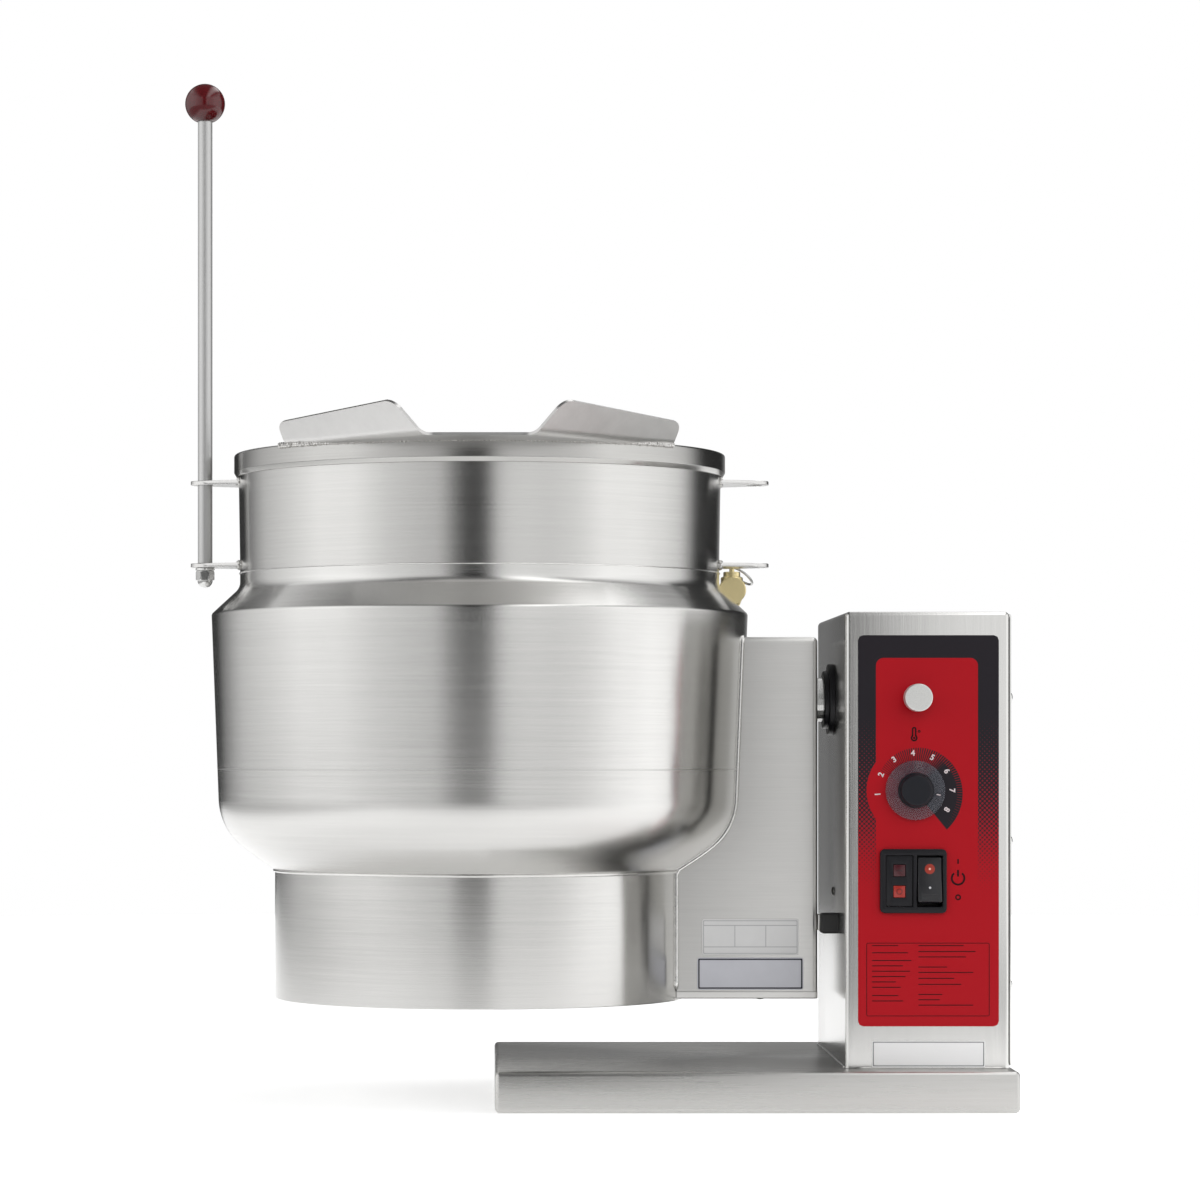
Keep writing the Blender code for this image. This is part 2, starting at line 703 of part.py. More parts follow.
def console_side_cover():
    """Flat cover screwed over the right side."""
    outline = rounded(CONSOLE_DEPTH - 2 * COVER_MARGIN, CONSOLE_HEIGHT - 2 * COVER_MARGIN, CONSOLE_BEND)
    middle = (CONSOLE_RIGHT - COVER_SHEET / 2, 0, CONSOLE_FLOOR + CONSOLE_HEIGHT / 2)
    return flat("console_side_cover", [outline], COVER_SHEET, "brushed_steel", middle, ALONG_X)


def pan_head(name, radius, height, location, rotation):
    """Head of a screw, seated on the sheet it holds."""
    dome = [(0, height)] + [
        (radius * math.sin(angle), height * math.cos(angle)) for angle in (math.pi / 6, math.pi / 3)
    ]
    outline = dome + [(radius, FIT_GAP), (0, FIT_GAP)]
    return turned(name, outline, "bright_steel", SMALL_STEPS, location, rotation)


def side_screws():
    """The screws down the front edge of the side cover."""
    screws = []
    for number in range(SIDE_SCREW_COUNT):
        height = CONSOLE_TOP - SIDE_SCREW_TOP - number * SIDE_SCREW_PITCH
        where = (CONSOLE_RIGHT, CONSOLE_FRONT + SIDE_SCREW_INSET, height)
        name = f"side_screw_{number + 1}"
        screws.append(pan_head(name, SIDE_SCREW_RADIUS, SIDE_SCREW_HEIGHT, where, TO_RIGHT))
    return screws


def control_overlay():
    """Thin film over the console's front, with holes for latch, thermostat and switch."""
    middle = (CONSOLE_LEFT + CONSOLE_WIDTH / 2, OVERLAY_MIDDLE)
    low, high = switch_opening()
    opening = [
        (low[0] - middle[0], low[1] - middle[1]), (high[0] - middle[0], low[1] - middle[1]),
        (high[0] - middle[0], high[1] - middle[1]), (low[0] - middle[0], high[1] - middle[1]),
    ]
    outlines = [
        rounded(OVERLAY_WIDTH, OVERLAY_HEIGHT, OVERLAY_RADIUS),
        circle((LATCH_X - middle[0], TILT_HEIGHT - middle[1]), LATCH_BUSH_RADIUS + FIT_GAP),
        circle((DIAL_X - middle[0], DIAL_HEIGHT - middle[1]), THERMOSTAT_BUSH_RADIUS + FIT_GAP),
        opening,
    ]
    where = (middle[0], CONSOLE_FRONT - FIT_GAP - OVERLAY_SHEET / 2, middle[1])
    return flat("control_overlay", outlines, OVERLAY_SHEET, "red_overlay", where, TO_FRONT)


def name_plate():
    """Small bare plate under the overlay."""
    height = OVERLAY_MIDDLE - OVERLAY_HEIGHT / 2 - NAME_PLATE_DROP - NAME_PLATE_HEIGHT / 2
    where = (CONSOLE_LEFT + CONSOLE_WIDTH / 2, CONSOLE_FRONT - FIT_GAP - NAME_PLATE_SHEET / 2, height)
    outline = rounded(NAME_PLATE_WIDTH, NAME_PLATE_HEIGHT, NAME_PLATE_RADIUS)
    return flat("name_plate", [outline], NAME_PLATE_SHEET, "bare_label", where, TO_FRONT)


def latch_guide():
    """Flanged bush behind the panel in which the latch rod slides."""
    behind = -CONSOLE_SHEET - FIT_GAP
    bore = LATCH_ROD_RADIUS + TURN_GAP
    outline = [
        (LATCH_BUSH_RADIUS, FIT_GAP + OVERLAY_SHEET),
        (LATCH_BUSH_RADIUS, behind),
        (LATCH_BUSH_FLANGE_RADIUS, behind),
        (LATCH_BUSH_FLANGE_RADIUS, behind - LATCH_BUSH_FLANGE),
        (LATCH_BUSH_RADIUS, behind - LATCH_BUSH_FLANGE),
        (LATCH_BUSH_RADIUS, behind - LATCH_BUSH_LENGTH),
        (bore, behind - LATCH_BUSH_LENGTH),
        (bore, FIT_GAP + OVERLAY_SHEET),
    ]
    where = (LATCH_X, CONSOLE_FRONT, TILT_HEIGHT)
    return turned("latch_guide", outline, "zinc_steel", SMALL_STEPS, where, TO_FRONT, ring=True)


def spring_front():
    """Where the latch spring bears on the bush, as a depth behind the console's front."""
    return CONSOLE_SHEET + LATCH_BUSH_LENGTH + 2 * FIT_GAP


def latch_spring():
    """Coil that pushes the rod in; it bears on the bush in front and on the rod's shoulder behind."""
    count = SPRING_TURNS * SPRING_POINTS_PER_TURN
    lead = SPRING_LENGTH - 2 * SPRING_WIRE_RADIUS
    points = []
    for number in range(count + 1):
        angle = 2 * math.pi * number / SPRING_POINTS_PER_TURN
        depth = spring_front() + SPRING_WIRE_RADIUS + lead * number / count
        points.append((SPRING_COIL_RADIUS * math.cos(angle), SPRING_COIL_RADIUS * math.sin(angle), -depth))
    where = (LATCH_X, CONSOLE_FRONT, TILT_HEIGHT)
    return wire("latch_spring", points, SPRING_WIRE_RADIUS, "bright_steel", False, where, TO_FRONT)


def latch_rod():
    """Rod from the knob to just short of the lock collar, with the shoulder that the spring pushes."""
    front = FIT_GAP + OVERLAY_SHEET + LATCH_STAND_OFF
    shoulder = -spring_front() - SPRING_LENGTH - FIT_GAP
    tip = -(TILT_Y - CONSOLE_FRONT - LOCK_COLLAR_RADIUS - LATCH_TIP_CLEARANCE)
    outline = [
        (0, front), (LATCH_ROD_RADIUS, front), (LATCH_ROD_RADIUS, shoulder),
        (LATCH_SHOULDER_RADIUS, shoulder), (LATCH_SHOULDER_RADIUS, shoulder - LATCH_SHOULDER),
        (LATCH_ROD_RADIUS, shoulder - LATCH_SHOULDER), (LATCH_ROD_RADIUS, tip), (0, tip),
    ]
    where = (LATCH_X, CONSOLE_FRONT, TILT_HEIGHT)
    return turned("latch_rod", outline, "bright_steel", SMALL_STEPS, where, TO_FRONT)


def latch_knob():
    """Round pull knob on the rod's end."""
    back = FIT_GAP + OVERLAY_SHEET + LATCH_STAND_OFF + FIT_GAP
    front = back + LATCH_KNOB_LENGTH
    outline = [
        (0, front), (LATCH_KNOB_RADIUS - LATCH_KNOB_ROUND, front),
        (LATCH_KNOB_RADIUS, front - LATCH_KNOB_ROUND),
        (LATCH_KNOB_RADIUS, back), (0, back),
    ]
    where = (LATCH_X, CONSOLE_FRONT, TILT_HEIGHT)
    return turned("latch_knob", outline, "aluminium", ROUND_STEPS, where, TO_FRONT)


def thermostat_body():
    """Switch block behind the panel, with the bush that comes through it."""
    behind = CONSOLE_FRONT + CONSOLE_SHEET + FIT_GAP
    half = THERMOSTAT_WIDTH / 2
    body = box(
        "thermostat_body",
        (DIAL_X - half, behind, DIAL_HEIGHT - half),
        (DIAL_X + half, behind + THERMOSTAT_DEPTH, DIAL_HEIGHT + half),
        "black_plastic",
    )
    where = (DIAL_X, CONSOLE_FRONT, DIAL_HEIGHT)
    bush = bar(
        "thermostat_bush", THERMOSTAT_BUSH_RADIUS, -OVERRUN, THERMOSTAT_BUSH_LENGTH,
        None, SMALL_STEPS, where, TO_FRONT,
    )
    bore = bar(
        "thermostat_bore", DIAL_STEM_RADIUS + TURN_GAP, -DIAL_STEM_LENGTH, OVERRUN,
        None, SMALL_STEPS, where, TO_FRONT,
    )
    join(body, bush)
    cut(body, bore)
    return body


def dial_base():
    """How far ahead of the console's front the thermostat knob starts."""
    return THERMOSTAT_BUSH_LENGTH + DIAL_LIFT


def dial_cap():
    """Dark cap of the thermostat knob, with the stem that goes into the bush."""
    base = dial_base()
    front = base + DIAL_CAP_HEIGHT
    seat = base + DIAL_SKIRT_SHEET + FIT_GAP
    outline = [
        (0, front), (DIAL_CAP_TIP_RADIUS - DIAL_CAP_ROUND, front),
        (DIAL_CAP_TIP_RADIUS, front - DIAL_CAP_ROUND),
        (DIAL_CAP_RADIUS, base + DIAL_SKIRT_HEIGHT + FIT_GAP), (DIAL_CAP_RADIUS - DIAL_CAP_ROUND, seat),
        (DIAL_STEM_RADIUS, seat), (DIAL_STEM_RADIUS, TURN_GAP - DIAL_STEM_LENGTH),
        (0, TURN_GAP - DIAL_STEM_LENGTH),
    ]
    where = (DIAL_X, CONSOLE_FRONT, DIAL_HEIGHT)
    return turned("dial_cap", outline, "black_plastic", ROUND_STEPS, where, TO_FRONT)


def dial_skirt():
    """Clear smoky skirt of the knob, a shallow cone that sits over the scale."""
    base = dial_base()
    sheet = DIAL_SKIRT_SHEET
    outline = [
        (DIAL_SKIRT_NECK, base + DIAL_SKIRT_HEIGHT), (DIAL_SKIRT_RADIUS, base + DIAL_SKIRT_EDGE),
        (DIAL_SKIRT_RADIUS, base - sheet), (DIAL_SKIRT_RADIUS - sheet, base - sheet),
        (DIAL_SKIRT_RADIUS - sheet, base), (DIAL_STEM_RADIUS + FIT_GAP, base),
        (DIAL_STEM_RADIUS + FIT_GAP, base + sheet), (DIAL_SKIRT_NECK, base + sheet),
    ]
    where = (DIAL_X, CONSOLE_FRONT, DIAL_HEIGHT)
    return turned("dial_skirt", outline, "smoky_plastic", ROUND_STEPS, where, TO_FRONT, ring=True)


def indicator_span():
    """Left and right side of the indicator half of the switch."""
    left = BEZEL_X - BEZEL_WIDTH / 2 + INDICATOR_INSET
    return left, left + INDICATOR_WIDTH


def rocker_span():
    """Left and right side of the rocker's window."""
    right = BEZEL_X + BEZEL_WIDTH / 2 - ROCKER_WINDOW_INSET
    return right - ROCKER_WINDOW_WIDTH, right


def switch_bezel():
    """Frame round the indicator and the rocker."""
    outlines = [rounded(BEZEL_WIDTH, BEZEL_HEIGHT, BEZEL_RADIUS)]
    half = WINDOW_HEIGHT / 2
    for left, right in (indicator_span(), rocker_span()):
        near, far = left - BEZEL_X, right - BEZEL_X
        outlines.append([(near, -half), (far, -half), (far, half), (near, half)])
    where = (BEZEL_X, PANEL_FACE - FIT_GAP - BEZEL_PLATE / 2, BEZEL_Z)
    return flat("switch_bezel", outlines, BEZEL_PLATE, "black_plastic", where, TO_FRONT)


def lens_centres():
    left, right = indicator_span()
    return [((left + right) / 2, BEZEL_Z + side * LENS_SPACING / 2) for side in (1, -1)]


def indicator_body():
    """Block in the left window with a pocket for each lens."""
    left, right = indicator_span()
    half = WINDOW_HEIGHT / 2 - FIT_GAP
    front = PANEL_FACE - BEZEL_PLATE + INDICATOR_RECESS
    body = box(
        "indicator_body",
        (left + FIT_GAP, front, BEZEL_Z - half),
        (right - FIT_GAP, front + INDICATOR_DEPTH, BEZEL_Z + half),
        "black_plastic",
    )
    side = LENS_SIDE / 2 + FIT_GAP
    for number, (across, height) in enumerate(lens_centres()):
        pocket = box(
            f"lens_pocket_{number + 1}",
            (across - side, front - OVERRUN, height - side),
            (across + side, front + LENS_THICKNESS + FIT_GAP, height + side),
            None,
        )
        cut(body, pocket)
    return body


def lenses():
    """The dark upper lens and the lit lower one."""
    front = PANEL_FACE - BEZEL_PLATE + INDICATOR_RECESS
    made = []
    names, looks = ("upper_lens", "lower_lens"), ("dark_lens", "orange_lens")
    for name, look, (across, height) in zip(names, looks, lens_centres()):
        low = (across - LENS_SIDE / 2, front, height - LENS_SIDE / 2)
        high = (across + LENS_SIDE / 2, front + LENS_THICKNESS, height + LENS_SIDE / 2)
        made.append(box(name, low, high, look))
    return made


def switch_body():
    """Well behind the right window in which the rocker tips."""
    left, right = rocker_span()
    half = WINDOW_HEIGHT / 2 + SWITCH_WALL
    front = PANEL_FACE
    return box(
        "switch_body",
        (left - SWITCH_WALL, front, BEZEL_Z - half),
        (right + SWITCH_WALL, front + SWITCH_DEPTH, BEZEL_Z + half),
        "black_plastic",
        open_sides=["-Y"],
        wall=SWITCH_WALL,
    )


def rocker_pivot():
    left, right = rocker_span()
    return ((left + right) / 2, PANEL_FACE + ROCKER_PIVOT_BEHIND, BEZEL_Z)


def rocker():
    """Rocker with a slightly hollow face, resting with its upper end pressed in."""
    left, right = rocker_span()
    width = right - left - 2 * ROCKER_SIDE_GAP
    half = ROCKER_HALF_HEIGHT
    outline = [
        (-half, ROCKER_BACK_DEPTH - ROCKER_PIVOT_BEHIND), (-half, ROCKER_END_DEPTH),
        (0, ROCKER_MIDDLE_DEPTH), (half, ROCKER_END_DEPTH), (half, ROCKER_BACK_DEPTH - ROCKER_PIVOT_BEHIND),
    ]
    outline += arc((0, 0), ROCKER_BACK_DEPTH, 0, -math.pi)[1:-1]
    piece = prism("rocker", outline, width, "black_plastic")
    piece.data.transform(Matrix(((0, 0, 1, -width / 2), (0, -1, 0, 0), (1, 0, 0, 0), (0, 0, 0, 1))))
    piece.location = rocker_pivot()
    piece.rotation_euler = (-ROCKER_SWING / 2, 0, 0)
    return piece


def bearing_frame():
    """Two heavy uprights on a foot plate, which hold the trunnion's bushes."""
    top = TILT_HEIGHT + FRAME_RISE
    near, far = TILT_Y - FRAME_DEPTH / 2, TILT_Y + FRAME_DEPTH / 2
    outline = [
        (FRAME_LEFT, CONSOLE_FLOOR), (FRAME_RIGHT, CONSOLE_FLOOR),
        (FRAME_RIGHT, top), (FRAME_RIGHT - FRAME_PLATE, top),
        (FRAME_RIGHT - FRAME_PLATE, CONSOLE_FLOOR + FRAME_PLATE),
        (FRAME_LEFT + FRAME_PLATE, CONSOLE_FLOOR + FRAME_PLATE),
        (FRAME_LEFT + FRAME_PLATE, top), (FRAME_LEFT, top),
    ]
    frame = prism("bearing_frame", outline, far - near, "painted_steel", (0, far, 0), TO_FRONT)
    hole = bar(
        "bush_holes", BUSH_RADIUS + FIT_GAP, -OVERRUN, FRAME_WIDTH + OVERRUN, None, ROUND_STEPS,
        (FRAME_LEFT, TILT_Y, TILT_HEIGHT), TO_RIGHT,
    )
    cut(frame, hole)
    return frame


def bushes():
    """Flanged bronze bush in each upright; the flanges face each other."""
    bore = SHAFT_RADIUS + TURN_GAP
    made = []
    for name, start, rotation in (("left_bush", FRAME_LEFT, TO_RIGHT),
    ("right_bush", FRAME_RIGHT, TO_LEFT)):
        inner = FRAME_PLATE + FIT_GAP
        outline = [
            (BUSH_FLANGE_RADIUS, inner + BUSH_FLANGE), (BUSH_FLANGE_RADIUS, inner), (BUSH_RADIUS, inner),
            (BUSH_RADIUS, 0), (bore, 0), (bore, inner + BUSH_FLANGE),
        ]
        where = (start, TILT_Y, TILT_HEIGHT)
        made.append(turned(name, outline, "bronze", ROUND_STEPS, where, rotation, ring=True))
    return made


def bearing_flange():
    """Black stepped flange on the console's side, round the shaft."""
    bore = SHAFT_RADIUS + TURN_GAP
    step = FIT_GAP + BEARING_PLATE
    outline = [
        (BEARING_STEP_RADIUS, step + BEARING_STEP), (BEARING_STEP_RADIUS, step), (BEARING_RADIUS, step),
        (BEARING_RADIUS, FIT_GAP), (BEARING_SPIGOT_RADIUS, FIT_GAP),
        (BEARING_SPIGOT_RADIUS, -CONSOLE_SHEET - FIT_GAP),
        (bore, -CONSOLE_SHEET - FIT_GAP), (bore, step + BEARING_STEP),
    ]
    where = (CONSOLE_LEFT, TILT_Y, TILT_HEIGHT)
    return turned("bearing_flange", outline, "black_plastic", ROUND_STEPS, where, TO_LEFT, ring=True)


def bumper_middle():
    """Height of the stop above the table."""
    return ARM_BOTTOM + BUMPER_ABOVE_ARM


def stop_bumper():
    """Rubber block on the console's side that the arm's lug comes to rest against."""
    rear = -ARM_DEPTH / 2 - STOP_LUG_DEPTH / 4
    return box(
        "stop_bumper",
        (CONSOLE_LEFT - FIT_GAP - BUMPER_LENGTH, rear - BUMPER_DEPTH, bumper_middle() - BUMPER_HEIGHT / 2),
        (CONSOLE_LEFT - FIT_GAP, rear, bumper_middle() + BUMPER_HEIGHT / 2),
        "rubber",
        bend=BUMPER_ROUND,
    )


def stop_lug():
    """Steel lug on the arm's right side that meets the bumper from behind."""
    front = -ARM_DEPTH / 2 - STOP_LUG_DEPTH / 4 + FIT_GAP
    return box(
        "stop_lug",
        (ARM_RIGHT + FIT_GAP, front, bumper_middle() - STOP_LUG_HEIGHT / 2),
        (ARM_RIGHT + FIT_GAP + STOP_LUG_LENGTH,
        front + STOP_LUG_DEPTH, bumper_middle() + STOP_LUG_HEIGHT / 2),
        "brushed_steel",
    )


def component_panel():
    """Bent sheet inside the console that carries the electrical parts."""
    floor = CONSOLE_FLOOR
    outline = [
        (PANEL_BEHIND, floor), (PANEL_BEHIND + PANEL_FOOT, floor),
        (PANEL_BEHIND + PANEL_FOOT, floor + PANEL_SHEET),
        (PANEL_BEHIND + PANEL_SHEET, floor + PANEL_SHEET),
        (PANEL_BEHIND + PANEL_SHEET, floor + PANEL_HEIGHT),
        (PANEL_BEHIND, floor + PANEL_HEIGHT),
    ]
    return prism("component_panel", outline, PANEL_WIDTH, "zinc_steel", (panel_left(), 0, 0), ALONG_X)


def panel_left():
    return (CONSOLE_LEFT + SHELL_RIGHT - PANEL_WIDTH) / 2


def panel_items():
    """Terminal block, contactor and transformer, one above the other on the panel's rear."""
    face = PANEL_BEHIND + PANEL_SHEET + FIT_GAP
    middle = panel_left() + PANEL_WIDTH / 2
    floor = CONSOLE_FLOOR + PANEL_FIRST_ITEM
    made = []
    sizes = (
        ("terminal_block", TERMINAL_WIDTH, TERMINAL_DEPTH, TERMINAL_HEIGHT, "white_plastic"),
        ("contactor", CONTACTOR_WIDTH, CONTACTOR_DEPTH, CONTACTOR_HEIGHT, "black_plastic"),
        ("transformer", TRANSFORMER_WIDTH, TRANSFORMER_DEPTH, TRANSFORMER_HEIGHT, "painted_steel"),
    )
    for name, width, depth, height, look in sizes:
        low = (middle - width / 2, face, floor)
        high = (middle + width / 2, face + depth, floor + height)
        made.append(box(name, low, high, look))
        floor += height + PANEL_ITEM_SPACING
    pitch = TERMINAL_WIDTH / TERMINAL_RIBS
    level = CONSOLE_FLOOR + PANEL_FIRST_ITEM + TERMINAL_HEIGHT / 2
    for number in range(TERMINAL_RIBS):
        across = middle + (number - (TERMINAL_RIBS - 1) / 2) * pitch
        slot = box(
            f"terminal_slot_{number + 1}",
            (across - TERMINAL_SLOT / 2, face + TERMINAL_DEPTH / 2, level - TERMINAL_HEIGHT / 4),
            (across + TERMINAL_SLOT / 2, face + TERMINAL_DEPTH + OVERRUN, level + TERMINAL_HEIGHT / 4),
            None,
        )
        cut(made[0], slot)
    return made


def conduit_place():
    return (CONSOLE_LEFT + CONSOLE_WIDTH / 2, -CONSOLE_FRONT, CONSOLE_FLOOR + CONDUIT_HEIGHT)


def conduit_bushing():
    """Bush in the console's rear through which the supply enters."""
    outline = [
        (CONDUIT_FLANGE_RADIUS, FIT_GAP + CONDUIT_FLANGE),
        (CONDUIT_FLANGE_RADIUS, FIT_GAP), (CONDUIT_RADIUS, FIT_GAP),
        (CONDUIT_RADIUS, -CONDUIT_SPIGOT), (CONDUIT_BORE, -CONDUIT_SPIGOT),
        (CONDUIT_BORE, FIT_GAP + CONDUIT_FLANGE),
    ]
    return turned("conduit_bushing", outline, "zinc_steel", ROUND_STEPS, conduit_place(), TO_REAR, ring=True)


def kettle_liner():
    """The bowl: a slightly tapered wall and a dished bottom, one sheet thick."""
    outline = [(NECK_RADIUS, LINER_TOP)]
    outline += dish(LINER_BASE_RADIUS, KNUCKLE_RADIUS - LINER_OFFSET, CROWN_RADIUS - LINER_OFFSET)
    return turned("kettle_liner", outline, "brushed_steel", KETTLE_STEPS, (KETTLE_X, 0, 0), wall=LINER_SHEET)


def rim_bar():
    """Solid bar round the bowl's top, chamfered down onto the neck."""
    inner = NECK_RADIUS - LINER_SHEET
    foot = RIM_TOP - RIM_BAR_HEIGHT
    outline = [
        (RIM_RADIUS - RIM_ROUND, RIM_TOP), (RIM_RADIUS, RIM_TOP - RIM_ROUND), (RIM_RADIUS, foot),
        (NECK_RADIUS + FIT_GAP, foot - RIM_CHAMFER), (NECK_RADIUS + FIT_GAP, foot), (inner, foot),
        (inner, RIM_TOP - RIM_ROUND / 2), (inner + RIM_ROUND / 2, RIM_TOP),
    ]
    return turned("rim_bar", outline, "brushed_steel", KETTLE_STEPS, (KETTLE_X, 0, 0), ring=True)


def jacket_shell():
    """Outer wall of the steam space, with the sloped shoulder and the dished bottom."""
    middle = (KETTLE_X, 0, 0)
    jacket = turned("jacket_shell", jacket_outline(),
        "brushed_steel", KETTLE_STEPS, middle, wall=JACKET_SHEET)
    low = dish_height(0) - OVERRUN
    for number, (across, along) in enumerate(heater_ends()):
        hole = bar(
            f"heater_hole_{number + 1}", HEATER_TUBE + FIT_GAP, low, heater_height(), None, SMALL_STEPS,
            (KETTLE_X + across, along, 0), UP,
        )
        cut(jacket, hole)
    probe = bar(
        "probe_hole", PROBE_RADIUS + FIT_GAP, low,
        heater_height(), None, SMALL_STEPS, (KETTLE_X, PROBE_OUT, 0), UP
    )
    cut(jacket, probe)
    return jacket


def skirt():
    """Plain band below the jacket that hides the heater's ends."""
    inner = SKIRT_RADIUS - SKIRT_SHEET
    outline = [
        (SKIRT_RADIUS, dish_height(SKIRT_RADIUS) - FIT_GAP),
        (SKIRT_RADIUS, SKIRT_BOTTOM), (inner, SKIRT_BOTTOM),
        (inner, dish_height(inner) - FIT_GAP),
    ]
    return turned("skirt", outline, "brushed_steel", KETTLE_STEPS, (KETTLE_X, 0, 0), ring=True)


def skirt_cover():
    """Shallow pan that closes the skirt from below."""
    radius = SKIRT_RADIUS - SKIRT_SHEET - FIT_GAP
    floor = SKIRT_BOTTOM + SKIRT_COVER_RECESS
    outline = [(radius, floor + SKIRT_COVER_FLANGE), (radius, floor), (0, floor)]
    return turned("skirt_cover", outline, "brushed_steel", KETTLE_STEPS, (KETTLE_X, 0, 0), wall=SKIRT_SHEET)


def lip_fold_line():
    """Front corner and outer end of the line that the blank is folded along, seen from above."""
    inner = NECK_RADIUS - LINER_SHEET
    corner = Vector((LIP_HALF_WIDTH, -RIM_RADIUS - LIP_PROJECTION))
    end = Vector((LIP_HALF_SPAN, -math.sqrt(inner**2 - LIP_HALF_SPAN**2)))
    return corner, end


def lip_point(corner, end, along, up):
    """A place on one wing: along the fold line as a distance, and up the blank from that line."""
    line = (end - corner).normalized()
    outward = Vector((line.y, -line.x))
    bent = min(up / LIP_BEND, LIP_FOLD)
    flat_part = max(up - LIP_BEND * LIP_FOLD, 0)
    out = LIP_BEND * math.sin(bent) + flat_part * math.cos(bent)
    rise = LIP_BEND * (1 - math.cos(bent)) + flat_part * math.sin(bent)
    where = corner + line * along + outward * out
    return (where.x, where.y, LIP_FLOOR + rise)


def pour_lip():
    """Butterfly shaped spout: a floor level with the rim, and a wing folded up along each side."""
    corner, end = lip_fold_line()
    length = (end - corner).length
    inner = NECK_RADIUS - LINER_SHEET
    end_angle = math.atan2(end.x, -end.y)
    work = bmesh.new()
    rows = []
    for row in range(LIP_ROWS + 1):
        share = row / LIP_ROWS
        points = []
        for column in range(LIP_FLOOR_COLUMNS):
            across = column / LIP_FLOOR_COLUMNS
            front = Vector((corner.x * across, corner.y))
            rear = Vector((inner * math.sin(end_angle * across), -inner * math.cos(end_angle * across)))
            where = front.lerp(rear, share)
            points.append((where.x, where.y, LIP_FLOOR))
        for column in range(LIP_WING_COLUMNS + 1):
            rise = column / LIP_WING_COLUMNS
            height = LIP_FRONT_HEIGHT + (LIP_END_HEIGHT - LIP_FRONT_HEIGHT) * share
            start = LIP_FRONT_SLANT * rise + corner_cut(rise, LIP_FRONT_HEIGHT)
            stop = length - LIP_END_SLANT * rise - corner_cut(rise, LIP_END_HEIGHT)
            points.append(lip_point(corner, end, start + (stop - start) * share, height * rise))
        rows.append([work.verts.new(point) for point in points])
    for front, rear in zip(rows, rows[1:]):
        for column in range(len(front) - 1):
            work.faces.new((front[column], front[column + 1], rear[column + 1], rear[column]))
    bmesh.ops.recalc_face_normals(work, faces=work.faces)
    mesh = bpy.data.meshes.new("pour_lip")
    work.to_mesh(mesh)
    work.free()
    if mesh.polygons[0].normal.z < 0:
        mesh.flip_normals()
    lip = place("pour_lip", mesh, "brushed_steel", (KETTLE_X, 0, 0))
    mirror = lip.modifiers.new("Both sides", "MIRROR")
    mirror.merge_threshold = MERGE
    thicken(lip, LIP_SHEET, outward=True)
    return lip


def corner_cut(rise, height):
    """How much a round upper corner takes off the wing's end at that share of its height."""
    into = max(height * rise - (height - LIP_CORNER), 0)
    return LIP_CORNER - math.sqrt(max(LIP_CORNER**2 - into**2, 0))


def ear(name, side, top, hole):
    """Flat tab on the neck, wide at the weld and round at the tip, with a hole for the rod."""
    neck = liner_radius(top - EAR_SHEET) + FIT_GAP
    half_angle = math.asin(EAR_BASE_WIDTH / 2 / neck)
    lean = math.atan2(EAR_BASE_WIDTH / 2 - EAR_TIP_RADIUS, EAR_REACH - neck)
    outline = arc((0, 0), liner_radius(top) + FIT_GAP, half_angle, -half_angle)
    outline += arc((EAR_REACH, 0), EAR_TIP_RADIUS, lean - math.pi / 2, math.pi / 2 - lean)
    if side < 0:
        outline = [(-across, -along) for across, along in outline]
    outlines = [outline, circle((side * EAR_REACH, 0), hole)]
    return flat(name, outlines, EAR_SHEET, "brushed_steel", (KETTLE_X, 0, top - EAR_SHEET / 2))


def ears():
    """Upper and lower ear on each side; the lower holes take only the rod's tenon."""
    made = []
    for side, word in ((-1, "left"), (1, "right")):
        made.append(ear(f"upper_{word}_ear", side, UPPER_EAR_TOP, ROD_RADIUS + FIT_GAP))
        made.append(ear(f"lower_{word}_ear", side, LOWER_EAR_TOP, ROD_TENON_RADIUS + FIT_GAP))
    return made


def handle_rod():
    """Tall rod that stands on the lower ear, with a tenon through it for the nut."""
    top = RIM_TOP + ROD_ABOVE_RIM
    shoulder = LOWER_EAR_TOP + FIT_GAP
    end = LOWER_EAR_TOP - EAR_SHEET - WASHER_HEIGHT - NUT_TENON
    outline = [
        (0, top), (ROD_RADIUS, top), (ROD_RADIUS, shoulder),
        (ROD_TENON_RADIUS, shoulder), (ROD_TENON_RADIUS, end), (0, end),
    ]
    return turned("handle_rod", outline, "brushed_steel", SMALL_STEPS, (KETTLE_X - EAR_REACH, 0, 0))


def handle_ball():
    """Ball knob on the rod's top, flat below and bored for the rod."""
    top = RIM_TOP + ROD_ABOVE_RIM
    middle = top - BALL_SOCKET_DEPTH + BALL_FLAT
    low = math.asin(-BALL_FLAT / BALL_RADIUS)
    outline = [(0, middle + BALL_RADIUS)] + arc((0, middle),
    BALL_RADIUS, math.pi / 2, low, 2 * ARC_POINTS)[1:]
    bore = ROD_RADIUS + FIT_GAP
    outline += [(bore, middle - BALL_FLAT), (bore, top + FIT_GAP), (0, top + FIT_GAP)]
    return turned("handle_ball", outline, "red_ball", ROUND_STEPS, (KETTLE_X - EAR_REACH, 0, 0))


def lock_washer():
    """Ring between the lower ear and the nut."""
    top = LOWER_EAR_TOP - EAR_SHEET - FIT_GAP
    return bar(
        "lock_washer", WASHER_RADIUS, top - WASHER_HEIGHT + FIT_GAP, top, "bright_steel", SMALL_STEPS,
        (KETTLE_X - EAR_REACH, 0, 0), UP, bore=ROD_TENON_RADIUS + FIT_GAP,
    )


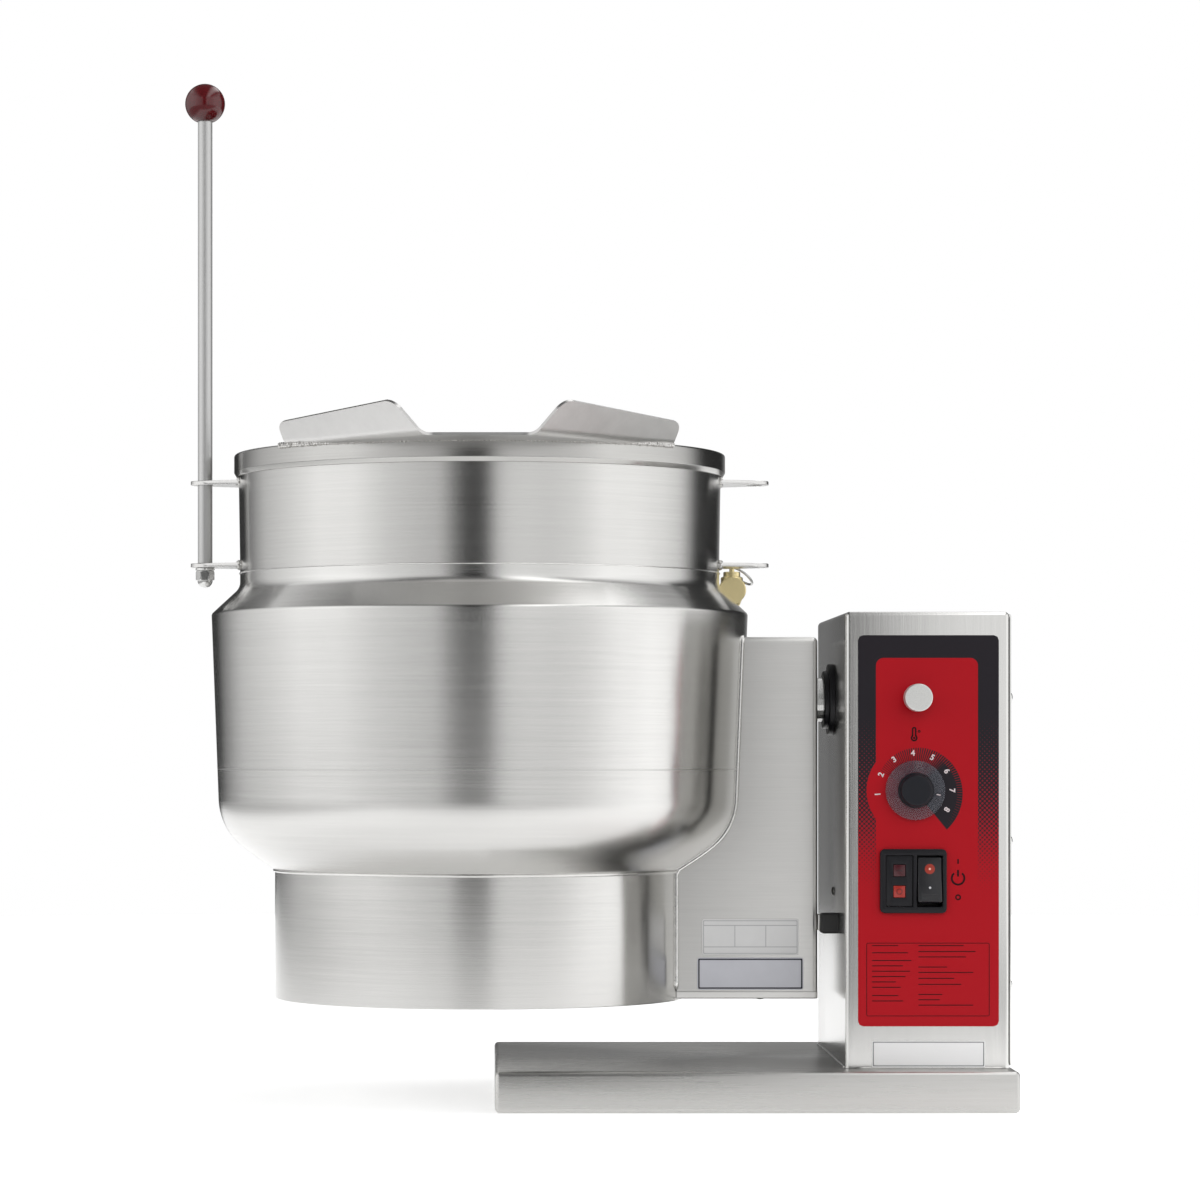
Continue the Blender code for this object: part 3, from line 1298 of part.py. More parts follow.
def acorn_nut():
    """Domed nut that holds the rod's tenon."""
    top = LOWER_EAR_TOP - EAR_SHEET - WASHER_HEIGHT - FIT_GAP
    foot = top - NUT_HEX_HEIGHT
    where = (KETTLE_X - EAR_REACH, 0, 0)
    nut = bar("acorn_nut", NUT_RADIUS, foot, top, "bright_steel", NUT_SIDES, where, UP)
    base = foot + FIT_GAP
    dome_outline = [(0, base), (NUT_DOME_RADIUS, base)]
    dome_outline += [
        (NUT_DOME_RADIUS * math.cos(angle), foot - NUT_DOME_HEIGHT * math.sin(angle))
        for angle in (0, math.pi / 6, math.pi / 3)
    ]
    dome_outline.append((0, foot - NUT_DOME_HEIGHT))
    dome = turned("nut_dome", dome_outline, None, SMALL_STEPS, where)
    bore = bar(
        "nut_bore", ROD_TENON_RADIUS + FIT_GAP,
        top - NUT_TENON - FIT_GAP, top + OVERRUN, None, SMALL_STEPS, where, UP
    )
    join(nut, dome)
    cut(nut, bore)
    return nut


def arm_housing():
    """Box of sheet between kettle and console, cut to the outline of shoulder, jacket and skirt."""
    arm = box(
        "arm_housing",
        (KETTLE_X, -ARM_DEPTH / 2, ARM_BOTTOM),
        (ARM_RIGHT, ARM_DEPTH / 2, ARM_TOP),
        "brushed_steel",
        bend=ARM_BEND,
        open_sides=["-X", "-Z"],
        wall=ARM_SHEET,
    )
    hole = bar(
        "arm_shaft_hole", SHAFT_RADIUS + FIT_GAP, -OVERRUN, OVERRUN, None, ROUND_STEPS,
        (ARM_RIGHT, TILT_Y, TILT_HEIGHT), TO_RIGHT,
    )
    cut(arm, envelope("arm_outline"), hole)
    return arm


def arm_cover():
    """Shallow pan that closes the arm from below."""
    cover = box(
        "arm_cover",
        (KETTLE_X, -ARM_DEPTH / 2, ARM_COVER_BOTTOM),
        (ARM_RIGHT, ARM_DEPTH / 2, ARM_COVER_BOTTOM + ARM_COVER_HEIGHT),
        "brushed_steel",
        open_sides=["-X", "+Z"],
        wall=ARM_SHEET,
    )
    cut(cover, envelope("cover_outline"))
    return cover


def label_plates():
    """Two bare plates low on the arm's front."""
    made = []
    height = ARM_BOTTOM + LABEL_LIFT
    front = -ARM_DEPTH / 2 - FIT_GAP - LABEL_SHEET / 2
    right = ARM_RIGHT - LABEL_RIGHT_INSET
    for name, width, tall in (
        ("lower_label_plate", LOWER_LABEL_WIDTH, LOWER_LABEL_HEIGHT),
        ("upper_label_plate", UPPER_LABEL_WIDTH, UPPER_LABEL_HEIGHT),
    ):
        where = (right - LOWER_LABEL_WIDTH / 2, front, height + tall / 2)
        outline = rounded(width, tall, LABEL_RADIUS)
        made.append(flat(name, [outline], LABEL_SHEET, "bare_label", where, TO_FRONT))
        height += tall + LABEL_SPACING
    return made


def trunnion_bracket():
    """Welded channel from the jacket to the arm's right side; its end plate holds the shaft."""
    right = ARM_RIGHT - ARM_SHEET - FIT_GAP
    half, plate = BRACKET_WIDTH / 2, BRACKET_PLATE
    outline = [
        (KETTLE_X, -half), (right, -half), (right, half), (KETTLE_X, half),
        (KETTLE_X, half - plate), (right - plate, half - plate),
        (right - plate, plate - half), (KETTLE_X, plate - half),
    ]
    bracket = prism(
        "trunnion_bracket", outline, BRACKET_HEIGHT,
        "zinc_steel", (0, TILT_Y, TILT_HEIGHT - BRACKET_HEIGHT / 2)
    )
    hole = bar(
        "bracket_hole", SHAFT_RADIUS + FIT_GAP, -OVERRUN - BRACKET_PLATE, OVERRUN, None, ROUND_STEPS,
        (right, TILT_Y, TILT_HEIGHT), TO_RIGHT,
    )
    cut(bracket, envelope("bracket_outline"), hole)
    return bracket


def trunnion_shaft():
    """Hollow shaft, flanged inside the arm, that runs through both bushes."""
    flange_face = ARM_RIGHT - ARM_SHEET - FIT_GAP - BRACKET_PLATE - FIT_GAP
    end = FRAME_RIGHT + SHAFT_END_INSET + END_COLLAR_WIDTH
    length, flange = end - flange_face, SHAFT_FLANGE
    outline = [
        (SHAFT_RADIUS, length), (SHAFT_RADIUS, 0), (SHAFT_FLANGE_RADIUS, 0), (SHAFT_FLANGE_RADIUS, -flange),
        (SHAFT_BORE, -flange), (SHAFT_BORE, length),
    ]
    where = (flange_face, TILT_Y, TILT_HEIGHT)
    return turned("trunnion_shaft", outline, "bright_steel", ROUND_STEPS, where, TO_RIGHT, ring=True)


def lock_collar():
    """Collar on the shaft with the hole that the latch rod enters when the kettle is upright."""
    half = LOCK_COLLAR_WIDTH / 2
    collar = bar(
        "lock_collar", LOCK_COLLAR_RADIUS, -half, half, "zinc_steel", ROUND_STEPS,
        (LATCH_X, TILT_Y, TILT_HEIGHT), TO_RIGHT, bore=SHAFT_RADIUS + FIT_GAP,
    )
    hole = bar(
        "lock_hole", LATCH_ROD_RADIUS + TURN_GAP,
        LOCK_COLLAR_RADIUS - LOCK_HOLE_DEPTH, LOCK_COLLAR_RADIUS + OVERRUN,
        None, SMALL_STEPS, (LATCH_X, TILT_Y, TILT_HEIGHT), TO_FRONT,
    )
    cut(collar, hole)
    return collar


def end_collar():
    """Collar that keeps the shaft in its bushes."""
    return bar(
        "end_collar", END_COLLAR_RADIUS, FIT_GAP, END_COLLAR_WIDTH, "zinc_steel", ROUND_STEPS,
        (FRAME_RIGHT, TILT_Y, TILT_HEIGHT), TO_RIGHT, bore=SHAFT_RADIUS + FIT_GAP,
    )


def heater_height():
    """Middle of the steam space over the heater's circle."""
    outside = dish_height(HEATER_RADIUS)
    slope = math.asin(HEATER_RADIUS / CROWN_RADIUS)
    return outside + (JACKET_SHEET + JACKET_SPACE / 2) / math.cos(slope)


def heater_ends():
    """The two places where the heater's legs go down through the jacket."""
    start = (2 * math.pi - HEATER_SWEEP) / 2
    return [
        (side * HEATER_RADIUS * math.sin(start), HEATER_RADIUS * math.cos(start)) for side in (1, -1)
    ]


def heating_element():
    """Tube heater that lies round the steam space, its two legs going down through the jacket."""
    start = (2 * math.pi - HEATER_SWEEP) / 2
    height = heater_height()
    points = []
    for number in range(HEATER_POINTS + 1):
        angle = start + HEATER_SWEEP * number / HEATER_POINTS
        points.append((HEATER_RADIUS * math.sin(angle), HEATER_RADIUS * math.cos(angle), height))
    first, last = points[0], points[-1]
    foot = height - HEATER_LEG
    points = [(first[0], first[1], foot)] + points + [(last[0], last[1], foot)]
    return wire("heating_element", points, HEATER_TUBE, "bright_steel", False, (KETTLE_X, 0, 0))


def low_water_probe():
    """Probe that stands up through the jacket's bottom, with its head below."""
    outside = dish_height(PROBE_OUT - PROBE_HEAD_RADIUS) - FIT_GAP
    outline = [
        (0, outside + PROBE_LENGTH), (PROBE_RADIUS, outside + PROBE_LENGTH), (PROBE_RADIUS, outside),
        (PROBE_HEAD_RADIUS, outside), (PROBE_HEAD_RADIUS, outside - PROBE_HEAD), (0, outside - PROBE_HEAD),
    ]
    return turned("low_water_probe", outline, "brass", SMALL_STEPS, (KETTLE_X, PROBE_OUT, 0))


def valve_place():
    across = math.sqrt(VALVE_AXIS_RADIUS**2 - VALVE_BEHIND**2)
    return (KETTLE_X + across, VALVE_BEHIND, 0)


def relief_valve():
    """Brass safety valve that stands on the shoulder at the right, behind the ears."""
    top = SHOULDER_TOP - SHOULDER_DROP / 2 + VALVE_BODY_TOP
    bottom = SHOULDER_TOP - VALVE_BODY_BOTTOM
    crest = top + VALVE_NECK
    outline = [
        (0, crest + VALVE_STEM), (VALVE_STEM_RADIUS, crest + VALVE_STEM), (VALVE_STEM_RADIUS, crest),
        (VALVE_NECK_RADIUS, crest), (VALVE_NECK_RADIUS, top), (VALVE_RADIUS, top),
        (VALVE_RADIUS, bottom + VALVE_ROUND), (VALVE_RADIUS - VALVE_ROUND, bottom), (0, bottom),
    ]
    valve = turned("relief_valve", outline, "brass", ROUND_STEPS, valve_place())
    eye = ring_pivot()
    hole = bar(
        "valve_eye", RING_WIRE + FIT_GAP, -OVERRUN, OVERRUN, None, SMALL_STEPS, eye, TO_FRONT
    )
    cut(valve, envelope("valve_seat"), hole)
    return valve


def ring_pivot():
    """The eye in the valve's stem that the pull ring hangs in."""
    across, behind, _ = valve_place()
    crest = SHOULDER_TOP - SHOULDER_DROP / 2 + VALVE_BODY_TOP + VALVE_NECK
    return (across, behind, crest + VALVE_STEM / 2)


def relief_ring():
    """Pull ring through the stem's eye, sloping down to the right over the valve."""
    points = []
    for number in range(RING_POINTS):
        angle = 2 * math.pi * number / RING_POINTS
        out = RING_RADIUS * (1 - math.cos(angle))
        points.append((out * math.cos(RING_SLOPE),
        RING_RADIUS * math.sin(angle), -out * math.sin(RING_SLOPE)))
    return wire("relief_ring", points, RING_WIRE, "bright_steel", True, ring_pivot())


def fill_plug():
    """Plug on the shoulder's rear, through which the jacket is filled with water."""
    slope = math.atan2(SHOULDER_DROP, JACKET_RADIUS - shoulder_seat())
    middle = (shoulder_seat() + JACKET_RADIUS) / 2
    height = SHOULDER_TOP - SHOULDER_DROP / 2
    rise = 2 * FIT_GAP
    outline = [
        (0, rise + PLUG_BOSS_HEIGHT + PLUG_HEIGHT), (PLUG_RADIUS, rise + PLUG_BOSS_HEIGHT + PLUG_HEIGHT),
        (PLUG_RADIUS, rise + PLUG_BOSS_HEIGHT),
        (PLUG_BOSS_RADIUS, rise + PLUG_BOSS_HEIGHT), (PLUG_BOSS_RADIUS, rise),
        (0, rise),
    ]
    return turned("fill_plug", outline, "brass", SMALL_STEPS, (KETTLE_X, middle, height), (-slope, 0, 0))


def build():
    """Every piece, then the empties on the joints' axes that carry those that move."""
    base_tray()
    base_crossmember()
    console_shell()
    console_side_cover()
    side_screws()
    control_overlay()
    name_plate()
    latch_guide()
    latch_spring()
    thermostat_body()
    switch_bezel()
    indicator_body()
    lenses()
    switch_body()
    bearing_frame()
    bushes()
    bearing_flange()
    stop_bumper()
    component_panel()
    panel_items()
    conduit_bushing()
    kettle = [
        kettle_liner(), rim_bar(), jacket_shell(), skirt(), skirt_cover(), pour_lip(), *ears(),
        handle_rod(), handle_ball(), lock_washer(),
        acorn_nut(), arm_housing(), arm_cover(), *label_plates(),
        stop_lug(), trunnion_bracket(), trunnion_shaft(), lock_collar(), end_collar(),
        heating_element(), low_water_probe(), relief_valve(), fill_plug(),
    ]
    tilt = carry("tilt_axis", Vector((ARM_RIGHT, TILT_Y, TILT_HEIGHT)), kettle)
    carry("ring_axis", Vector(ring_pivot()), [relief_ring()], tilt)
    carry("latch_axis", Vector((LATCH_X, CONSOLE_FRONT, TILT_HEIGHT)), [latch_knob(), latch_rod()])
    carry("dial_axis", Vector((DIAL_X, CONSOLE_FRONT, DIAL_HEIGHT)), [dial_cap(), dial_skirt()])
    carry("rocker_axis", Vector(rocker_pivot()), [rocker()])


for old in list(bpy.data.objects):
    bpy.data.objects.remove(old, do_unlink=True)
KETTLE = bpy.data.collections.new("steam_jacketed_kettle")
CUTTERS = bpy.data.collections.new("cutters")
bpy.context.scene.collection.children.link(KETTLE)
bpy.context.scene.collection.children.link(CUTTERS)
build()
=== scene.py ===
import math

import bmesh
import bpy
import numpy as np
from mathutils import Matrix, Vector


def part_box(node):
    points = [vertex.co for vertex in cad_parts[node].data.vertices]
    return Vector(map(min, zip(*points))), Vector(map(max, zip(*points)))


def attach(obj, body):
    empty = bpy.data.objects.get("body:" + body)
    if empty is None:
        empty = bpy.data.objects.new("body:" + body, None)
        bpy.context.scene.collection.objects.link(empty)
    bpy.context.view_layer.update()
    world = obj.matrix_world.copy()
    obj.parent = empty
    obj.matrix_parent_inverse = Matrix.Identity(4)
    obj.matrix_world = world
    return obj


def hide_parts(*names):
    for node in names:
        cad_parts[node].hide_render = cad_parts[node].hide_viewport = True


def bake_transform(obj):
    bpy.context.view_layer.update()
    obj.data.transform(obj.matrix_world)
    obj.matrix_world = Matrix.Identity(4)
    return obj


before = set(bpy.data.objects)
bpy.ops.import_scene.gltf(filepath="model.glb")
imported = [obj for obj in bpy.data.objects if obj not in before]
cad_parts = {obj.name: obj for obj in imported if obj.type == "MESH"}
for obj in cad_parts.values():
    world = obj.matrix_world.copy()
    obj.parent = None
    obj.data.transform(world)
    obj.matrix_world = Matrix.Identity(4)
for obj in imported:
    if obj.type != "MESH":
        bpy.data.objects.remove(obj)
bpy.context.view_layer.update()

# ------------------------ camera
# The photographer's camera stands level with the console, 3.5 m in front of the kettle,
# and is shifted so that the tall handle fits above.
def put(name, data):
    """An object with that data at the scene's origin."""
    made = bpy.data.objects.new(name, data)
    bpy.context.scene.collection.objects.link(made)
    return made


view = bpy.data.cameras.new("front_camera")
view.lens, view.sensor_width = 120, 36
view.shift_x, view.shift_y = 0.0917, 0.125
camera = put("front_camera", view)
camera.location = (-0.223, -3.504, 0.3026)
camera.rotation_euler = (math.pi / 2, 0, 0)
bpy.context.scene.camera = camera
bpy.context.scene.view_settings.view_transform = "Standard"


# ------------------------ floor and light
# The kettle was photographed on white, between two large soft lights with a dark gap
# around the camera. A ring of light all round stands in for them; it shows in the metal.
class Wire:
    """An output of a shader node. Each finish below is a sum or product of such wires: arithmetic
    adds Math nodes, and grow adds any other node."""

    def __init__(self, tree, socket):
        self.tree, self.socket = tree, socket

    def grow(self, kind, settings=None, inputs=None):
        """A node of that kind: its settings first, then its inputs, each a value or a wire."""
        made = self.tree.nodes.new(kind)
        for name, value in (settings or {}).items():
            if name == "stops":
                ramp = made.color_ramp
                while len(ramp.elements) > 1:
                    ramp.elements.remove(ramp.elements[0])
                ramp.elements[0].position, ramp.elements[0].color = value[0][0], shade(value[0][1])
                for place, colour in value[1:]:
                    ramp.elements.new(place).color = shade(colour)
            else:
                setattr(made, name, value)
        for name, value in (inputs or {}).items():
            if isinstance(value, Wire):
                self.tree.links.new(value.socket, made.inputs[name])
            else:
                made.inputs[name].default_value = value
        return Wire(self.tree, made.outputs[0])

    def math(self, operation, *others, clamp=False):
        inputs = dict(enumerate((self, *others)))
        return self.grow("ShaderNodeMath", {"operation": operation, "use_clamp": clamp}, inputs)

    def __add__(self, other):
        return self.math("ADD", other)

    __radd__ = __add__

    def __mul__(self, other):
        return self.math("MULTIPLY", other)

    __rmul__ = __mul__

    def __sub__(self, other):
        return self.math("SUBTRACT", other)

    def __rsub__(self, other):
        return self.grow("ShaderNodeMath", {"operation": "SUBTRACT"}, {0: other, 1: self})

    def step(self, low, high):
        """0 below low, 1 above high, and a smooth rise between; low may be the larger."""
        inputs = {"Value": self, "From Min": low, "From Max": high}
        return self.grow("ShaderNodeMapRange", {"interpolation_type": "SMOOTHSTEP"}, inputs)

    def span(self, other):
        """Distance from the middle: the root of both wires' squares."""
        return (self * self + other * other).math("SQRT")

    def line(self, at, half, inner=0.0001, outer=-0.0001):
        """1 where this wire is within half a width of a place, with a soft edge."""
        return ((self - at).math("ABSOLUTE") - half).step(inner, outer)

    def relief(self, strength, distance=0.0002):
        """Normals of a surface that rises and sinks with this wire."""
        return self.grow("ShaderNodeBump", {}, {"Strength": strength, "Distance": distance, "Height": self})

    def mix(self, first, second):
        """The first colour where this wire is 0, and the second where it is 1."""
        made = self.tree.nodes.new("ShaderNodeMix")
        made.data_type = "RGBA"
        for number, value in zip((0, 6, 7), (self, first, second)):
            if isinstance(value, Wire):
                self.tree.links.new(value.socket, made.inputs[number])
            else:
                made.inputs[number].default_value = shade(value)
        return Wire(self.tree, made.outputs[2])

    def stretched(self, x, y, z):
        """This vector with each part multiplied."""
        return self.grow("ShaderNodeVectorMath", {"operation": "MULTIPLY"}, {0: self, 1: (x, y, z)})

    def noise(self, scale, detail, roughness):
        inputs = {"Vector": self, "Scale": scale, "Detail": detail, "Roughness": roughness}
        return self.grow("ShaderNodeTexNoise", {}, inputs)

    def parts(self):
        """The x, y and z of this vector, as three wires."""
        made = self.tree.nodes.new("ShaderNodeSeparateXYZ")
        self.tree.links.new(self.socket, made.inputs[0])
        return [Wire(self.tree, socket) for socket in made.outputs]


def shade(colour):
    """A grey number or a colour of three parts, as the four parts that a socket holds."""
    parts = (colour,) * 3 if isinstance(colour, (int, float)) else tuple(colour)
    return (*parts[:3], 1.0)


def seen(red, green, blue):
    """A colour as it looks in the photo, 0 to 255, made linear for a shader."""
    levels = np.array((red, green, blue)) / 255
    return tuple(np.where(levels <= 0.04045, levels / 12.92, ((levels + 0.055) / 1.055) ** 2.4).tolist())


def new_finish(name, constants=None):
    """A material with a Principled shader. Gives it, the shader, and the wire of Object coordinates."""
    made = bpy.data.materials.new(name)
    made.use_nodes = True
    shader = made.node_tree.nodes["Principled BSDF"]
    for socket, value in (constants or {}).items():
        shader.inputs[socket].default_value = value
    where = made.node_tree.nodes.new("ShaderNodeTexCoord")
    return made, shader, Wire(made.node_tree, where.outputs["Object"])


def feed(shader, **wires):
    """Links wires to the shader's sockets, whose names are given with _ for a space."""
    for name, wire in wires.items():
        wire.tree.links.new(wire.socket, shader.inputs[name.replace("_", " ")])


def sheet_of(name, grid, material):
    """A plain open sheet through a grid of points, rows by columns."""
    rows, columns = grid.shape[:2]
    first = (np.arange(rows - 1)[:, None] * columns + np.arange(columns - 1)).ravel()
    faces = np.stack([first, first + 1, first + columns + 1, first + columns], axis=1)
    mesh = bpy.data.meshes.new(name)
    mesh.from_pydata(grid.reshape(-1, 3), [], faces)
    mesh.materials.append(material)
    made = put(name, mesh)
    return made


LIGHT_MIDDLE = -0.232
LIGHT_RADIUS = 3.9
LIGHT_HEIGHT = 3.4
# Brightness all round: degrees from the camera, positive to the right of the kettle.
RING_STOPS = (
    (-180, 0.20), (-165, 0.04), (-150, 0.04), (-135, 0.34), (-120, 0.73), (-100, 1.02), (-80, 1.36),
    (-60, 1.34), (-42, 0.98), (-28, 0.84), (-18, 0.76), (-11, 0.22), (-6, 0.00), (1, 0.00), (4, 0.16),
    (8, 0.76), (13, 1.02), (22, 1.04), (32, 0.98), (45, 1.08), (60, 1.38), (78, 1.26), (95, 1.14),
    (108, 0.90), (115, 0.50), (122, 0.10), (128, 0.03), (155, 0.03), (168, 0.36), (180, 0.20),
)
# Brightness of the ceiling from left to right, in metres from the kettle.
CEILING_WIDTH = 6.0
CEILING_STOPS = (
    (-2.7, 0.95), (-2.2, 0.45), (-1.8, 0.22), (-1.4, 0.12), (0.4, 0.12), (0.7, 1.10), (0.9, 1.70), (1.2, 2.00),
    (1.6, 2.00), (1.85, 1.10), (2.1, 0.20), (2.4, 0.20), (2.8, 0.80),
)


def glowing(name, share, stops):
    """A surface that shines by a list of stops, read at a share from 0 to 1 that depends on place."""
    made, shader, place = new_finish(name)
    made.node_tree.nodes.remove(shader)
    where = share(*place.parts())
    tone = where.grow("ShaderNodeValToRGB", {"stops": stops}, {"Fac": where})
    glow = tone.grow("ShaderNodeEmission", {}, {"Color": tone})
    made.node_tree.links.new(glow.socket, made.node_tree.nodes["Material Output"].inputs["Surface"])
    return made


def bearing_share(x, y, z):
    return (x - LIGHT_MIDDLE).math("ARCTAN2", 0 - y) * (0.5 / math.pi) + 0.5


def across_share(x, y, z):
    return (x - LIGHT_MIDDLE) * (1 / CEILING_WIDTH) + 0.5


ring_light = glowing("ring_light", bearing_share, [((at + 180) / 360, value) for at, value in RING_STOPS])
ceiling_shares = [(at / CEILING_WIDTH + 0.5, value) for at, value in CEILING_STOPS]
ceiling_light = glowing("ceiling_light", across_share, ceiling_shares)
turn = np.radians(np.linspace(-180, 180, 181))
circle = np.stack([np.sin(turn), -np.cos(turn), 0 * turn], axis=-1)
middle = np.array((LIGHT_MIDDLE, 0, 0))
foot, up = middle + circle * LIGHT_RADIUS, (0, 0, LIGHT_HEIGHT)
wall_of_light = sheet_of("wall_of_light", np.stack([foot, foot + up]), ring_light)
reach = np.linspace(0, LIGHT_RADIUS, 8)[:, None, None]
ceiling = sheet_of("ceiling_of_light", middle + reach * circle[None] + up, ceiling_light)
for light in (wall_of_light, ceiling):
    light.visible_camera = False


def light_path(tree, kind):
    """1 for rays of that kind."""
    return Wire(tree, tree.nodes.new("ShaderNodeLightPath").outputs[f"Is {kind} Ray"])


def direct_rays(tree):
    """1 for what the camera, metal and glass see, and 0 for the light that falls on the object."""
    seen_by = light_path(tree, "Camera") + light_path(tree, "Glossy") + light_path(tree, "Transmission")
    return seen_by.math("MINIMUM", 1.0)


# White paper lies below and behind the kettle. Beyond its edges the metal sees a darker
# studio floor, which the camera sees white.
white, white_shader, place = new_finish("white_floor", {"Roughness": 0.9})
floor_x, floor_y, _ = place.parts()
paper = floor_y.step(-1.15, -0.85) * (floor_x + 0.2 * floor_y).step(-1.5, -1.0)
white_shader.inputs["Emission Strength"].default_value = 1.0
# Round a point under the kettle the paper's glow falls from 0.68 to 0.48: a painted shadow, which the camera and the
# metal both see.
from_kettle = (floor_x + 0.20).span(floor_y + 0.30)
glow = from_kettle.step(0.15, 0.75).mix(0.48, 0.68)
camera_ray = light_path(white.node_tree, "Camera")
studio_floor = camera_ray.mix(0.30, 1.0)
white_seen = (camera_ray * from_kettle.step(1.4, 2.6)).mix(paper.mix(studio_floor, glow), 1.0)
shines = direct_rays(white.node_tree).mix(0.0, white_seen)
feed(white_shader, Base_Color=paper.mix(0.12, 0.86), Emission_Color=shines)
FLOOR_DROP = 0.0004
reach = np.linspace(0, LIGHT_RADIUS, 10)[:, None, None]
sheet_of("floor", reach * circle[None] - (0, 0, FLOOR_DROP), white)

# A soft lamp behind the camera lights paint, film and plastic. Metal shows only the ring.
lamp = bpy.data.lights.new("front_lamp", "AREA")
lamp.shape, lamp.size, lamp.energy = "DISK", 2.2, 30
front_lamp = put("front_lamp", lamp)
front_lamp.location, front_lamp.rotation_euler = (-0.2, -3.7, 1.5), (math.radians(73), 0, 0)
front_lamp.visible_glossy = front_lamp.visible_camera = False

world = bpy.data.worlds.new("white_room")
world.use_nodes = True
bpy.context.scene.world = world
sky = world.node_tree.nodes["Background"]
world.node_tree.links.new(direct_rays(world.node_tree).socket, sky.inputs["Strength"])
sky.inputs["Color"].default_value = shade(1.0)


# ------------------------ base tray
# A low pan of 2 mm stainless sheet, folded down on four sides with a flange turned in
# below. Its faces keep the mill's long horizontal grain.
STEEL = (0.62, 0.615, 0.60)
LEVEL_GRAIN, UPRIGHT_GRAIN = 0.25, 0.0


def streaks(where, grain):
    """Noise stretched along the grain, fine over broad, and the same with more contrast."""
    fine = where.stretched(*grain).noise(1.0, 5.0, 0.7)
    broad = where.stretched(*(part * 0.3 for part in grain)).noise(1.0, 2.0, 0.5)
    streak = fine * 0.7 + broad * 0.3
    return streak, (streak * 1.4 - 0.2).math("MULTIPLY", 1.0, clamp=True)


def shades_of(colour, darker, lighter):
    """A darker and a lighter tone of one colour."""
    return tuple(part * darker for part in colour), tuple(min(part * lighter, 1) for part in colour)


def brushed(name, grain, colour=STEEL, rough=0.30, drawn=0.0, turn=LEVEL_GRAIN, depth=0.2, spread=0.10):
    """Brushed steel. Streaks along the grain and large soft clouds vary its roughness. A drawn finish
    spreads its gloss across the grain, which runs level unless it is upright."""
    made, shader, where = new_finish(
        name, {"Metallic": 1.0, "Anisotropic": drawn, "Anisotropic Rotation": turn}
    )
    streak, tone = streaks(where, grain)
    clouds = where.noise(7.0, 2.0, 0.5)
    feed(
        shader,
        Base_Color=tone.mix(*shades_of(colour, 0.90, 1.08)),
        Roughness=streak * spread + clouds * 0.05 + (rough - 0.5 * (spread + 0.05)),
        Normal=streak.relief(depth),
    )
    return made


def outline(width, height, radius, points=8):
    """A rectangle with round corners: each corner's centre plus a quarter circle, all the way round."""
    angle = np.radians(np.linspace(0, 90, points + 1))
    turns = np.concatenate([angle + quarter * math.pi / 2 for quarter in range(4)])
    across = np.repeat([1, -1, -1, 1], points + 1) * (width / 2 - radius)
    along = np.repeat([1, 1, -1, -1], points + 1) * (height / 2 - radius)
    return np.stack([across + radius * np.cos(turns), along + radius * np.sin(turns)], axis=-1)


def stack(width, height, corner, levels):
    """Round cornered rectangles one above the other. Each level is an inset and a height;
    an inset of None is the middle point, which closes the surface there."""
    rows = []
    for inset, rise in levels:
        if inset is None:
            flat = np.zeros_like(outline(width, height, corner))
        else:
            flat = outline(width - 2 * inset, height - 2 * inset, max(corner - inset, 0.0002))
        rows.append(np.column_stack([flat, np.full(len(flat), rise)]))
    return np.array(rows)


def edge(radius, rise, upward=True, points=5):
    """Levels round an edge: a quarter circle from the side wall to the flat end, or back."""
    angle = np.radians(np.linspace(0, 90, points + 1))
    inset, climb = radius * (1 - np.cos(angle)), radius * np.sin(angle)
    levels = list(zip(inset.tolist(), (rise - radius + climb).tolist()))
    return levels if upward else [(inset, 2 * rise - height) for inset, height in levels][::-1]


def face(grid, axis, middle=(0, 0, 0)):
    """Turns a grid that was drawn upwards so that it faces along an axis, and moves it to its place."""
    x, y, z = grid[..., 0], grid[..., 1], grid[..., 2]
    turned = {"+Z": (x, y, z), "-Z": (x, -y, -z), "-Y": (x, -z, y), "+X": (z, x, y), "-X": (-z, -x, y)}
    return np.stack(turned[axis], axis=-1) + np.array(middle)


def skin(name, material, *grids, wrap=True, sharp=35):
    """One object from grids of points whose columns join up all the way round. Points that
    coincide are merged, faces point outwards, and edges above the sharp angle stay crisp.
    The triangles of a flat end stay flat."""
    points, faces, start = [], [], 0
    for grid in grids:
        rows, columns = grid.shape[:2]
        across = np.arange(columns if wrap else columns - 1)
        first = start + (np.arange(rows - 1)[:, None] * columns + across).ravel()
        second = start + (np.arange(rows - 1)[:, None] * columns + (across + 1) % columns).ravel()
        faces.append(np.stack([first, second, second + columns, first + columns], axis=1))
        points.append(grid.reshape(-1, 3))
        start += rows * columns
    mesh = bpy.data.meshes.new(name)
    mesh.from_pydata(np.concatenate(points), [], np.concatenate(faces))
    work = bmesh.new()
    work.from_mesh(mesh)
    bmesh.ops.remove_doubles(work, verts=work.verts, dist=0.000002)
    bmesh.ops.dissolve_degenerate(work, edges=work.edges, dist=0.000001)
    bmesh.ops.recalc_face_normals(work, faces=work.faces)
    work.to_mesh(mesh)
    work.free()
    mesh.shade_smooth()
    mesh.set_sharp_from_angle(angle=math.radians(sharp))
    for side in mesh.polygons:
        if len(side.vertices) == 3 and max(map(abs, side.normal)) > 0.99999:
            side.use_smooth = False
    mesh.materials.append(material)
    return put(name, mesh)


def fit(piece, body, slot, *replaced):
    """The piece rides on its body and stands for those CAD nodes, which it hides. The slot is not used."""
    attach(piece, body)
    if replaced:
        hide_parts(*replaced)
    return piece


